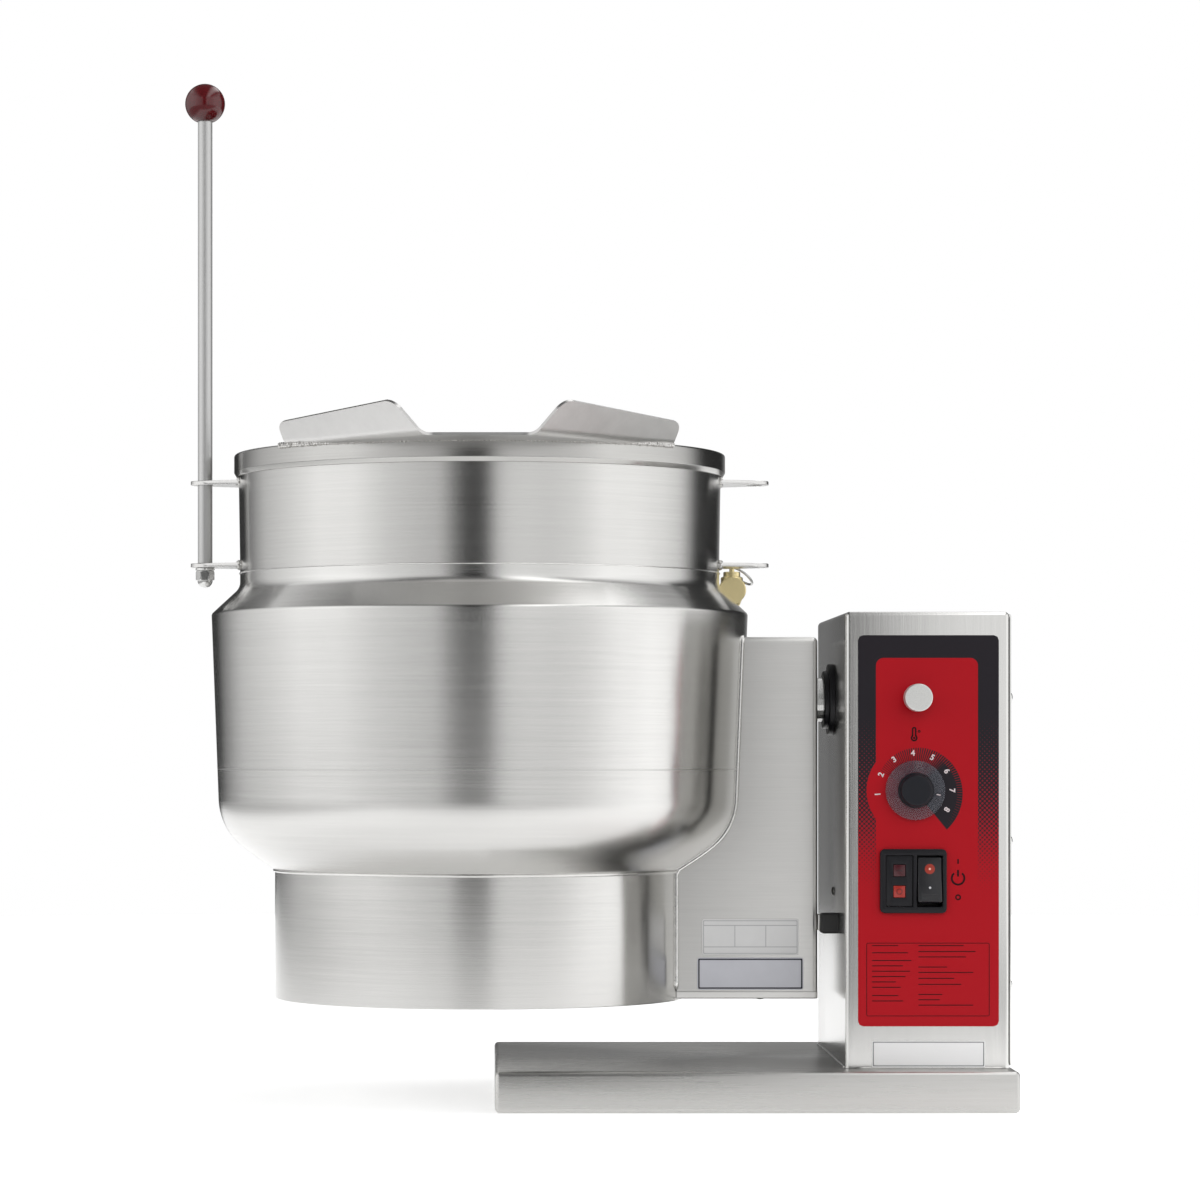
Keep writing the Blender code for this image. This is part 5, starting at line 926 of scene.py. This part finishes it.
body_tone = haze.mix(seen(18, 18, 22), seen(30, 30, 34))
lamp_tone = heart.mix(haze.mix(seen(120, 26, 18), seen(168, 52, 30)), seen(235, 190, 170))
feed(
    rocker_shader,
    Base_Color=dot.mix(lamp.mix(body_tone, lamp_tone), seen(210, 210, 214)),
    Emission_Color=lamp.mix(0.0, lamp_tone),
    Roughness=haze * 0.1 + 0.30,
    Normal=ribs.relief(0.6, 0.0004),
)
rocker_shader.inputs["Emission Strength"].default_value = 0.15
fit(softened("rocker_key", "rocker", rocker_finish, 0.0012, 3), "rocker", "black_plastic", "rocker")

# ------------------------ bowl
# The bowl is one deep drawn sheet of 2 mm stainless with a dished bottom. Its upper part
# shows above the jacket as the neck, and its inside is polished smooth.
low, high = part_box("kettle_liner")
kettle_x, neck_radius, neck_top = (low.x + high.x) / 2, (high.x - low.x) / 2, high.z
LINER_SHEET = 0.002
BOTTOM_RADIUS, KNUCKLE, CROWN, KNUCKLE_Z = 0.2063, 0.034, 0.313, 0.2620
RIM_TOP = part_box("rim_bar")[1].z


def dished(radius, knuckle, crown, points=(16, 40)):
    """A dished bottom: a tight arc from the wall that runs into a flat arc down to the axis."""
    half = math.asin((radius - knuckle) / (crown - knuckle))
    tight = np.linspace(0, half - math.pi / 2, points[0])
    flat = np.linspace(half - math.pi / 2, -math.pi / 2, points[1])[1:]
    middle = KNUCKLE_Z + (crown - knuckle) * math.cos(half)
    first = np.column_stack([radius - knuckle + knuckle * np.cos(tight), KNUCKLE_Z + knuckle * np.sin(tight)])
    second = np.column_stack([crown * np.cos(flat), middle + crown * np.sin(flat)])
    second[-1, 0] = 0
    return np.vstack([first, second])


def with_wall(profile, wall):
    """A closed sheet: the profile's outer side, and the same line moved inwards by the wall."""
    profile = np.array(profile, float)
    ahead = np.gradient(profile, axis=0)
    ahead /= np.linalg.norm(ahead, axis=1)[:, None]
    inner = profile + wall * np.column_stack([ahead[:, 1], -ahead[:, 0]])
    inner[-1, 0] = 0
    inner[0, 1] = profile[0, 1]
    return np.vstack([inner[::-1], profile])


def on_kettle(grid):
    return grid + np.array((kettle_x, 0, 0))


kettle_steel = brushed("kettle_steel", (10, 10, 1300), rough=0.21, drawn=0.88)
liner_profile = np.vstack([[(neck_radius, neck_top)], dished(BOTTOM_RADIUS, KNUCKLE, CROWN)])
liner = skin("bowl_sheet", kettle_steel, on_kettle(lathe(with_wall(liner_profile, LINER_SHEET), 192)), sharp=50)
fit(liner, "kettle", "brushed_steel", "kettle_liner")

# The rim is a solid bar rolled to a ring and welded on, chamfered below onto the neck.
low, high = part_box("rim_bar")
RIM_BAR, RIM_CHAMFER = 0.0155, 0.006
RIM_RADIUS, RIM_FOOT = (high.x - low.x) / 2, RIM_TOP - RIM_BAR
rim_inner = neck_radius - LINER_SHEET
corners = [(rim_inner, RIM_FOOT), (rim_inner, RIM_TOP), (RIM_RADIUS, RIM_TOP), (RIM_RADIUS, RIM_FOOT)]
corners += [(neck_radius + 0.0003, RIM_FOOT - RIM_CHAMFER), (neck_radius + 0.0003, RIM_FOOT), (rim_inner, RIM_FOOT)]
rim_steel = brushed("rim_steel", (10, 10, 1300), colour=(0.50, 0.495, 0.48), rough=0.22, drawn=0.8)
rim_ring = skin("rim_ring", rim_steel, on_kettle(lathe(eased(corners, (0.001, 0.002, 0.0015, 0.0008, 0)), 192)))
fit(rim_ring, "kettle", "brushed_steel", "rim_bar")

# ------------------------ jacket and skirt
# The jacket is a second shell round the bowl, welded to the neck at its sloped shoulder.
# A faint line shows where its wall is welded to its dished bottom.
low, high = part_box("jacket_shell")
JACKET_RADIUS, SHOULDER_TOP = (high.x - low.x) / 2, high.z
SHOULDER_FALL, JACKET_TAPER = 0.024, 0.006
SHOULDER_EDGE, JACKET_BASE = SHOULDER_TOP - SHOULDER_FALL, JACKET_RADIUS - JACKET_TAPER
JACKET_KNUCKLE, JACKET_CROWN, JACKET_SHEET = 0.056, 0.335, 0.0025
WELD_LINE = 0.2860
at_neck = np.interp(SHOULDER_TOP, (KNUCKLE_Z, neck_top), (BOTTOM_RADIUS, neck_radius)) + 0.0003
corners = [(at_neck, SHOULDER_TOP + 0.012), (at_neck, SHOULDER_TOP - 0.001)]
corners += [(JACKET_RADIUS, SHOULDER_EDGE), (JACKET_BASE, KNUCKLE_Z)]
jacket_top = eased(corners, (0.012, 0.0035), 8)
wall_points = np.linspace(jacket_top[-2], (JACKET_BASE, KNUCKLE_Z), 12)[1:-1]
jacket_outside = np.vstack([jacket_top[:-1], wall_points, dished(JACKET_BASE, JACKET_KNUCKLE, JACKET_CROWN)])
jacket_steel, jacket_shader, place = new_finish(
    "jacket_steel", {"Metallic": 1.0, "Anisotropic": 0.88, "Anisotropic Rotation": LEVEL_GRAIN}
)
streak, tone = streaks(place, (10, 10, 1300))
clouds = place.noise(6.0, 2.0, 0.5)
seam = place.parts()[2].line(WELD_LINE, 0.0005, 0.0006, 0.0)
feed(
    jacket_shader,
    Base_Color=(seam * 0.3).mix(tone.mix(STEEL, (0.75, 0.745, 0.73)), (0.42, 0.41, 0.40)),
    Roughness=streak * 0.10 + clouds * 0.05 + seam * 0.08 + 0.15,
    Normal=streak.relief(0.2),
)
jacket = on_kettle(lathe(with_wall(jacket_outside, JACKET_SHEET), 192))
jacket = skin("jacket_sheet", jacket_steel, jacket, sharp=50)
fit(jacket, "kettle", "brushed_steel", "jacket_shell")

low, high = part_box("skirt")
BAND_RADIUS, BAND_LOW, BAND_TOP, BAND_SHEET = (high.x - low.x) / 2, low.z, high.z, 0.0015
band_steel = brushed("band_steel", (10, 10, 1300), colour=(0.64, 0.635, 0.62), rough=0.21, drawn=0.88)
corners = [(BAND_RADIUS - BAND_SHEET, BAND_TOP), (BAND_RADIUS, BAND_TOP), (BAND_RADIUS, BAND_LOW)]
corners += [(BAND_RADIUS - BAND_SHEET, BAND_LOW), (BAND_RADIUS - BAND_SHEET, BAND_TOP)]
band = skin("skirt_band", band_steel, on_kettle(lathe(eased(corners, (0, 0.0006, 0.0005)), 192)))
fit(band, "kettle", "brushed_steel", "skirt")

low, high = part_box("skirt_cover")
LID_RADIUS = (high.x - low.x) / 2
corners = [(0, low.z), (LID_RADIUS, low.z), (LID_RADIUS, high.z), (LID_RADIUS - BAND_SHEET, high.z)]
corners += [(LID_RADIUS - BAND_SHEET, low.z + BAND_SHEET), (0, low.z + BAND_SHEET)]
lid = skin("skirt_lid", band_steel, on_kettle(lathe(eased(corners, (0.002, 0, 0, 0.001)), 160)))
fit(lid, "kettle", "brushed_steel", "skirt_cover")


def hoop(radius, height, start, end, points):
    """Points round the kettle's axis; angles in degrees from the front, positive to the right."""
    angle = np.radians(np.linspace(start, end, points))
    return np.column_stack([kettle_x + radius * np.sin(angle), -radius * np.cos(angle), np.full(points, height)])


skirt_bead = bead(hoop(BAND_RADIUS + 0.0004, BAND_TOP - 0.0003, -180, 180, 360), 0.0013, 0.006, 0.05)
neck_bead = bead(hoop(at_neck + 0.0002, SHOULDER_TOP + 0.0115, -180, 180, 360), 0.0006, 0.006, 0.2)
fit(skin("kettle_beads", weld_steel, skirt_bead, neck_bead), "kettle", "brushed_steel")

# ------------------------ pouring lip
# One flat blank, folded up along a slanted line on each side, so that it pours from a level
# floor between two wings. It is welded to the rim with a coarse bead below.
LIP_SHEET, LIP_BEND, LIP_FOLD = 0.0025, 0.010, math.radians(57)
LIP_CORNER_X, LIP_OUT, LIP_SPAN = 0.040, 0.0504, 0.158
LIP_FRONT_HEIGHT, LIP_END_HEIGHT = 0.0365, 0.0267
LIP_FRONT_SLANT, LIP_END_SLANT, LIP_ROUND = 0.017, 0.004, 0.009
lip_floor = RIM_TOP + 0.0003
corner = np.array((LIP_CORNER_X, -RIM_RADIUS - LIP_OUT))
end = np.array((LIP_SPAN, -math.sqrt(rim_inner**2 - LIP_SPAN**2)))
fold_length = float(np.linalg.norm(end - corner))
fold_way = (end - corner) / fold_length
fold_out = np.array((fold_way[1], -fold_way[0]))


def rounding(rise, height):
    """How much the round upper corner takes off the wing's end at a share of its height."""
    into = np.maximum(height * rise - (height - LIP_ROUND), 0)
    return LIP_ROUND - np.sqrt(np.maximum(LIP_ROUND**2 - into**2, 0))


def lip_grid(rows, floor_columns, wing_columns, drop):
    """Half the lip. Floor: straight from the front edge to the bowl's edge. Wing: up the blank from
    the fold line, first round the bend's arc, then straight on; rows run along the fold. The lower
    side is the same surface moved by the drop against its normal."""
    along = np.linspace(0, 1, rows + 1)[:, None]
    share = np.linspace(0, 1, floor_columns, endpoint=False)[None, :]
    sweep = math.atan2(end[0], -end[1]) * share
    front_x, rear_x, rear_y = corner[0] * share, rim_inner * np.sin(sweep), -rim_inner * np.cos(sweep)
    level = np.full((rows + 1, floor_columns), lip_floor - drop)
    floor = np.stack(
        [front_x + (rear_x - front_x) * along, corner[1] + (rear_y - corner[1]) * along, level], axis=-1
    )
    rise = np.linspace(0, 1, wing_columns + 1)[None, :]
    height = (LIP_FRONT_HEIGHT + (LIP_END_HEIGHT - LIP_FRONT_HEIGHT) * along) * rise
    start = LIP_FRONT_SLANT * rise + rounding(rise, LIP_FRONT_HEIGHT)
    stop = fold_length - LIP_END_SLANT * rise - rounding(rise, LIP_END_HEIGHT)
    way = start + (stop - start) * along
    bent = np.minimum(height / LIP_BEND, LIP_FOLD)
    straight = np.maximum(height - LIP_BEND * LIP_FOLD, 0)
    out = LIP_BEND * np.sin(bent) + straight * math.cos(LIP_FOLD) + drop * np.sin(bent)
    climb = LIP_BEND * (1 - np.cos(bent)) + straight * math.sin(LIP_FOLD) - drop * np.cos(bent)
    x, y = (corner[part] + fold_way[part] * way + fold_out[part] * out for part in (0, 1))
    wing = np.stack([x, y, lip_floor + climb], axis=-1)
    half = np.concatenate([floor, wing], axis=1)
    return on_kettle(np.concatenate([(half * (-1, 1, 1))[:, :0:-1], half], axis=1))


upper, lower = lip_grid(48, 10, 36, 0), lip_grid(48, 10, 36, LIP_SHEET)
lip_edges = [np.stack([upper[row], lower[row]]) for row in (0, -1)]
lip_edges += [np.stack([upper[:, column], lower[:, column]]) for column in (0, -1)]
lip_steel = brushed("lip_steel", (80, 80, 80), colour=(0.66, 0.655, 0.645), rough=0.34, spread=0.14)
lip = skin("lip_sheet", lip_steel, upper, lower, *lip_edges, wrap=False, sharp=60)
worn = lip.modifiers.new("Worn edge", "BEVEL")
worn.width, worn.segments, worn.limit_method, worn.angle_limit = 0.0006, 2, "ANGLE", math.radians(50)
fit(lip, "kettle", "brushed_steel", "pour_lip")

lip_weld = bead(hoop(RIM_RADIUS + 0.0004, RIM_TOP - 0.0006, -51.5, 49.5, 640), 0.0021, 0.0031, 0.22, seed=4)
lip_weld += np.random.default_rng(8).normal(0, 0.00018, lip_weld.shape)
rough_weld = plain("rough_weld", (0.66, 0.65, 0.63), 0.30, metal=1.0, grain=350, vary=0.3, bump=0.6)
fit(skin("lip_weld", rough_weld, lip_weld, sharp=80), "kettle", "brushed_steel")


# ------------------------ handle
# Two flat tabs are welded to each side of the neck. The left pair carries a tall rod with a
# glossy red ball, held below by a washer and a domed nut.
def tab(side, node, hole):
    """A tab with a hole: its outline is an arc on the neck, two straight flanks and a round tip. Rings of
    points run from the hole over the top to the outline and back underneath."""
    low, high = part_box(node)
    tip, reach_out, foot = 0.0125, 0.2405, 0.029
    root = float(np.interp(high.z, (KNUCKLE_Z, neck_top), (BOTTOM_RADIUS, neck_radius)))
    half = math.asin(foot / root)
    lean = math.atan2(foot - tip, reach_out - root)
    base = np.linspace(half, -half, 24)
    cap = np.linspace(lean - math.pi / 2, math.pi / 2 - lean, 40)
    flank_end = (reach_out + tip * math.cos(cap[0]), tip * math.sin(cap[0]))
    flank = np.linspace((root * math.cos(half), -root * math.sin(half)), flank_end, 10)
    rim_line = np.vstack([
        np.column_stack([root * np.cos(base), root * np.sin(base)]), flank[1:-1],
        np.column_stack([reach_out + tip * np.cos(cap), tip * np.sin(cap)]), (flank * (1, -1))[::-1][1:-1],
    ])
    turns = np.arctan2(rim_line[:, 1], rim_line[:, 0] - reach_out)
    bore = np.column_stack([reach_out + hole * np.cos(turns), hole * np.sin(turns)])
    worn = 0.0004
    inward = (bore - rim_line) / np.linalg.norm(bore - rim_line, axis=1)[:, None] * worn
    rings = [(bore, low.z), (bore, high.z), (rim_line + inward, high.z), (rim_line, high.z - worn)]
    rings += [(rim_line, low.z + worn), (rim_line + inward, low.z), (bore, low.z)]
    return on_kettle(np.stack([np.column_stack([side * line, np.full(len(line), z)]) for line, z in rings]))


tab_steel = brushed("tab_steel", (500, 500, 60), colour=(0.66, 0.655, 0.645), rough=0.28, depth=0.2)
ROD_HOLE, TENON_HOLE = 0.00665, 0.0050
tab_welds = []
for side, word in ((-1, "left"), (1, "right")):
    for level, hole in (("upper", ROD_HOLE), ("lower", TENON_HOLE)):
        node = f"{level}_{word}_ear"
        fit(skin(f"{level}_{word}_tab", tab_steel, tab(side, node, hole), sharp=40), "kettle", "brushed_steel", node)
        low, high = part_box(node)
        for height in (low.z, high.z):
            at = hoop(neck_radius + 0.0001, height, side * 90 - 8.2, side * 90 + 8.2, 60)
            tab_welds.append(bead(at, 0.0016, 0.0034, 0.25, seed=int(height * 1000) + side))
fit(skin("tab_welds", rough_weld, *tab_welds, sharp=80), "kettle", "brushed_steel")

low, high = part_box("handle_rod")
ROD_X, ROD_RADIUS, ROD_TOP = (low.x + high.x) / 2, (high.x - low.x) / 2, high.z
rod_steel = brushed("rod_steel", (1400, 1400, 14), colour=(0.56, 0.56, 0.555), rough=0.34, drawn=0.8, turn=UPRIGHT_GRAIN)
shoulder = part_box("lower_left_ear")[1].z + 0.0003
TENON_RADIUS = 0.0047
corners = [(0, ROD_TOP), (ROD_RADIUS, ROD_TOP), (ROD_RADIUS, shoulder)]
corners += [(TENON_RADIUS, shoulder), (TENON_RADIUS, low.z), (0, low.z)]
rod = skin("rod_bar", rod_steel, lathe(eased(corners, (0.0008, 0.0004, 0, 0.0005)), 64) + (ROD_X, 0, 0))
fit(rod, "kettle", "brushed_steel", "handle_rod")

low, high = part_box("handle_ball")
BALL_RADIUS = (high.x - low.x) / 2
ball_z = high.z - BALL_RADIUS
polar = np.radians(np.linspace(0, 152, 60))
ball_bore, bore_top = ROD_RADIUS + 0.0003, low.z + 0.012
ball_profile = np.column_stack([BALL_RADIUS * np.sin(polar), ball_z + BALL_RADIUS * np.cos(polar)])
ball_profile = np.vstack([ball_profile, (ball_bore, low.z), (ball_bore, bore_top), (0, bore_top)])
phenolic, ball_shader, place = new_finish("red_phenolic", {"IOR": 1.5, "Coat Weight": 0.25, "Coat Roughness": 0.05})
swirl = place.noise(90.0, 3.0, 0.6)
scuff = place.noise(900.0, 3.0, 0.6)
feed(
    ball_shader,
    Base_Color=swirl.mix(seen(76, 8, 14), seen(104, 14, 22)),
    Roughness=scuff * 0.08 + 0.14,
    Normal=scuff.relief(0.03, 0.0001),
)
fit(skin("ball_grip", phenolic, lathe(ball_profile, 96) + (ROD_X, 0, 0)), "kettle", "red_ball", "handle_ball")

low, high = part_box("lock_washer")
WASHER_RADIUS = (high.x - low.x) / 2
corners = [(0.0050, low.z), (0.0050, high.z), (WASHER_RADIUS, high.z), (WASHER_RADIUS, low.z), (0.0050, low.z)]
washer = skin("washer_ring", bright_steel, lathe(eased(corners, (0, 0.0004, 0.0004)), 64) + (ROD_X, 0, 0))
fit(washer, "kettle", "bright_steel", "lock_washer")

# The nut is a hexagon that blends into a dome: each ring of points lies between the two.
low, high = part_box("acorn_nut")
NUT_RADIUS, NUT_HEX, NUT_DOME = 0.0082, 0.0085, 0.0066
angle = np.linspace(0, 2 * math.pi, 96, endpoint=False)
hexagon = NUT_RADIUS * math.cos(math.pi / 6) / np.cos((angle % (math.pi / 3)) - math.pi / 6)
hex_foot = high.z - NUT_HEX
# Each ring is the hexagon, cut to a circle of the first number, at a height.
rings = [(1e-9, high.z - 0.0005), (0.0050, high.z - 0.0005), (0.0050, high.z), (0.0074, high.z)]
rings += [(0.0080, high.z - 0.0007), (1, high.z - 0.0014), (1, hex_foot + 0.0010)]
rings += [(0.0076, hex_foot + 0.0003), (NUT_DOME, hex_foot)]
for turn_down in np.linspace(0, math.pi / 2, 10)[1:]:
    rings.append((NUT_DOME * math.cos(turn_down) + 1e-9, hex_foot - (hex_foot - low.z) * math.sin(turn_down)))
nut = []
for circle_size, z in rings:
    size = np.minimum(hexagon, circle_size)
    nut.append(np.column_stack([ROD_X + size * np.cos(angle), size * np.sin(angle), np.full(96, z)]))
nut = np.stack(nut)
fit(skin("domed_nut", bright_steel, nut, sharp=30), "kettle", "bright_steel", "acorn_nut")

# ------------------------ arm
# A box of folded sheet joins the kettle to the console. Its left edge is cut to the outline
# of jacket and skirt and welded all round; a pan below closes it.
low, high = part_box("arm_housing")
ARM_RIGHT, ARM_HALF, ARM_LOW, ARM_TOP, ARM_BEND = high.x + 0.0005, high.y, low.z, high.z, 0.0045
ARM_GAP, OUTER_PART = 0.0002, 0.05
outside = jacket_outside[jacket_outside[:, 0] > OUTER_PART][::-1]


def kettle_edge(y, z):
    """Where the kettle's outside lies at that depth and height: its radius there, then the circle."""
    radius = np.maximum(np.interp(z, outside[:, 1], outside[:, 0]), BAND_RADIUS) + ARM_GAP
    return kettle_x + np.sqrt(radius**2 - y**2)


def arm_section(inset, points=150):
    """The arm's section seen from the right: up the front, over the top and down the rear."""
    half, top, radius = ARM_HALF - inset, ARM_TOP - inset, max(ARM_BEND - inset, 0.0001)
    climb = np.linspace(ARM_LOW, top - radius, points)
    bend = np.radians(np.linspace(0, 90, 7))[1:]
    front = np.vstack([
        np.column_stack([np.full(points, -half), climb]),
        np.column_stack([-half + radius - radius * np.cos(bend), top - radius + radius * np.sin(bend)]),
    ])
    return np.vstack([front, (front * (-1, 1))[::-1]])


full = arm_section(0)
rows = [np.column_stack([kettle_edge(full[:, 0], full[:, 1]), full])]
for angle in np.radians(np.linspace(0, 90, 7)):
    out = np.full(len(full), ARM_RIGHT - ARM_BEND + ARM_BEND * math.sin(angle))
    rows.append(np.column_stack([out, arm_section(ARM_BEND * (1 - math.cos(angle)))]))
arm_grid = np.stack(rows)
last = arm_grid[-1]
end_cap = np.stack([last[: len(last) // 2], last[len(last) // 2:][::-1]], axis=1)
arm_steel = brushed("arm_steel", (16, 1000, 1000), rough=0.30, drawn=0.6)
arm = skin("arm_sheet", arm_steel, arm_grid, end_cap, wrap=False)
centre = np.array(((ARM_RIGHT + kettle_x) / 2 + 0.1, 0, (ARM_LOW + ARM_TOP) / 2))
facing = [float(np.dot(np.array(flat.center) - centre, flat.normal)) * flat.area for flat in arm.data.polygons]
if sum(facing) < 0:
    arm.data.flip_normals()
fit(arm, "kettle", "brushed_steel", "arm_housing")

front_line = np.column_stack([kettle_edge(full[:, 0], full[:, 1]), full[:, 0] * 1.006, full[:, 1]])
seam_bead = bead(front_line[::2], 0.0023, 0.006, 0.04, up=(1, 0, 0))
fit(skin("arm_bead", weld_steel, seam_bead, sharp=60), "kettle", "brushed_steel")

low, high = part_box("arm_cover")
PAN_EDGE = 0.0012
depth = np.linspace(-ARM_HALF, ARM_HALF, 41)
pan_left = np.column_stack([kettle_x + np.sqrt((BAND_RADIUS + 0.0003) ** 2 - depth**2), depth])[::-1]
PAN_CORNER = 0.003
lower_right = arc(PAN_CORNER, -90, 0, 6, ARM_RIGHT - PAN_CORNER, PAN_CORNER - ARM_HALF)
pan_line = np.vstack([pan_left, lower_right, (lower_right * (1, -1))[::-1]])
pan_middle = np.array((ARM_RIGHT - 0.055, 0))
rows = []
for inset, z in [(None, low.z)] + edge(PAN_EDGE, low.z, upward=False, points=3) + [(0, high.z), (None, high.z)]:
    if inset is None:
        line = np.repeat(pan_middle[None], len(pan_line), 0)
    else:
        away = pan_line - pan_middle
        line = pan_line - away / np.linalg.norm(away, axis=1)[:, None] * inset
    rows.append(np.column_stack([line, np.full(len(line), z)]))
pan_steel = brushed("pan_steel", (16, 1000, 1000), colour=(0.66, 0.655, 0.64), rough=0.32)
fit(skin("arm_pan", pan_steel, np.stack(rows)), "kettle", "brushed_steel", "arm_cover")

# One pan head screw holds the cover from below, near the front.
SCREW_RADIUS, SCREW_CROWN = 0.0046, 0.0024
screw = face(lathe(dome(SCREW_RADIUS, SCREW_CROWN), 48), "-Z", (ARM_RIGHT - 0.048, -0.030, low.z))
fit(skin("arm_pan_screw", bright_steel, screw), "kettle", "bright_steel")

fit(softened("stop_block", "stop_lug", arm_steel, 0.0010), "kettle", "brushed_steel", "stop_lug")


# Two plates of printed film, left bare: the upper with three faint fields, the lower with a
# dark line round it.
def label_finish(name, node, ground, line, border, line_width, fields):
    """Pale film with a line round it, and upright lines that divide it into fields."""
    low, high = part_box(node)
    made, shader, place = new_finish(name)
    x, _, z = place.parts()
    step_in = border + line_width
    inner = framed(x, z, low, high, step_in, 0.0006)
    drawn = framed(x, z, low, high, border, 0.0008) * (1 - inner)
    fields_low, fields_high = low.z + 0.0070, high.z - 0.0055
    for number in range(1, fields):
        across = low.x + step_in + (high.x - low.x - 2 * step_in) * number / fields
        within = (z - fields_low).step(0.0, 0.0001) * (z - fields_high).step(0.0001, 0.0)
        drawn = drawn.math("MAXIMUM", x.line(across, line_width / 2) * within)
    if fields:
        for height in (fields_low, fields_high):
            drawn = drawn.math("MAXIMUM", z.line(height, line_width / 2) * inner)
    sheen = place.noise(60.0, 3.0, 0.6)
    film_tone = sheen.mix(*shades_of(ground, 1, 1.12))
    feed(shader, Base_Color=drawn.mix(film_tone, line), Roughness=sheen * 0.15 + 0.35)
    return made


for level, ground, line, border, line_width, fields in (
    ("upper", seen(222, 222, 222), seen(176, 176, 178), 0.0012, 0.0006, 3),
    ("lower", seen(204, 205, 212), seen(36, 36, 48), 0.0008, 0.0013, 0),
):
    node = f"{level}_label_plate"
    label_film = label_finish(f"{level}_label_film", node, ground, line, border, line_width, fields)
    fit(softened(f"{level}_label_sheet", node, label_film, 0.0002), "kettle", "bare_label", node)

# ------------------------ relief valve and plug
# A small brass safety valve stands on the shoulder behind the ears, with a split ring to lift
# it by. A brass plug at the rear closes the filling hole.
polished_brass = plain("polished_brass", (0.86, 0.73, 0.40), 0.30, metal=1.0, grain=160, vary=0.08, bump=0.05)
low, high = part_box("relief_valve")
valve_place = ((low.x + high.x) / 2, (low.y + high.y) / 2, 0)
VALVE_RADIUS, VALVE_TOP = (high.x - low.x) / 2, high.z - 0.0110
VALVE_BODY, VALVE_FOOT = VALVE_RADIUS - 0.0022, low.z - 0.004
STEM_RADIUS, BUTTON_RADIUS, BUTTON_TOP = 0.0022, 0.0075, VALVE_TOP + 0.0045
corners = [(0, high.z), (STEM_RADIUS, high.z), (STEM_RADIUS, BUTTON_TOP)]
corners += [(BUTTON_RADIUS, BUTTON_TOP), (BUTTON_RADIUS, VALVE_TOP)]
corners += [(VALVE_BODY, VALVE_TOP), (VALVE_BODY, low.z + 0.0040), (VALVE_BODY - 0.0030, VALVE_FOOT), (0, VALVE_FOOT)]
body = lathe(eased(corners, (0.0008, 0, 0.0010, 0.0008, 0.0016, 0.0030, 0.002)), 72) + valve_place
BONNET_FRONT, BONNET_DEPTH = low.y, 0.0060
bonnet = eased([(0, BONNET_DEPTH), (VALVE_RADIUS, BONNET_DEPTH), (VALVE_RADIUS, 0), (0, 0)], (0.0010, 0.0008), 5)
bonnet_place = (valve_place[0], BONNET_FRONT + BONNET_DEPTH, VALVE_TOP - VALVE_RADIUS)
valve = skin("valve_body", polished_brass, body, face(lathe(bonnet, 72), "-Y", bonnet_place))
fit(valve, "kettle", "brass", "relief_valve")

low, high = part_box("relief_ring")
RING_WIRE, RING_SIZE = 0.0011, 0.0112
ring_pivot = np.array((low.x + RING_WIRE, (low.y + high.y) / 2, high.z - RING_WIRE))
RING_SLOPE, RING_TWIST = math.radians(38), math.radians(14)
angle = np.linspace(0, 2 * math.pi, 73)
away, aside = RING_SIZE * (1 - np.cos(angle)), RING_SIZE * np.sin(angle)
path = ring_pivot + np.column_stack([
    away * math.cos(RING_SLOPE) - aside * math.sin(RING_TWIST) * math.sin(RING_SLOPE), aside * math.cos(RING_TWIST),
    -away * math.sin(RING_SLOPE) - aside * math.sin(RING_TWIST) * math.cos(RING_SLOPE),
])
loop = bead(path, RING_WIRE, up=(0.6, 0.05, 0.8))
loop[0] = loop[1] - (path[1] - path[0])
loop[-1] = loop[0]
fit(skin("pull_ring", sprung_steel, loop, sharp=80), "relief_ring", "bright_steel", "relief_ring")
repaint(polished_brass, "fill_plug", "low_water_probe")
repaint(zinc, "conduit_bushing")
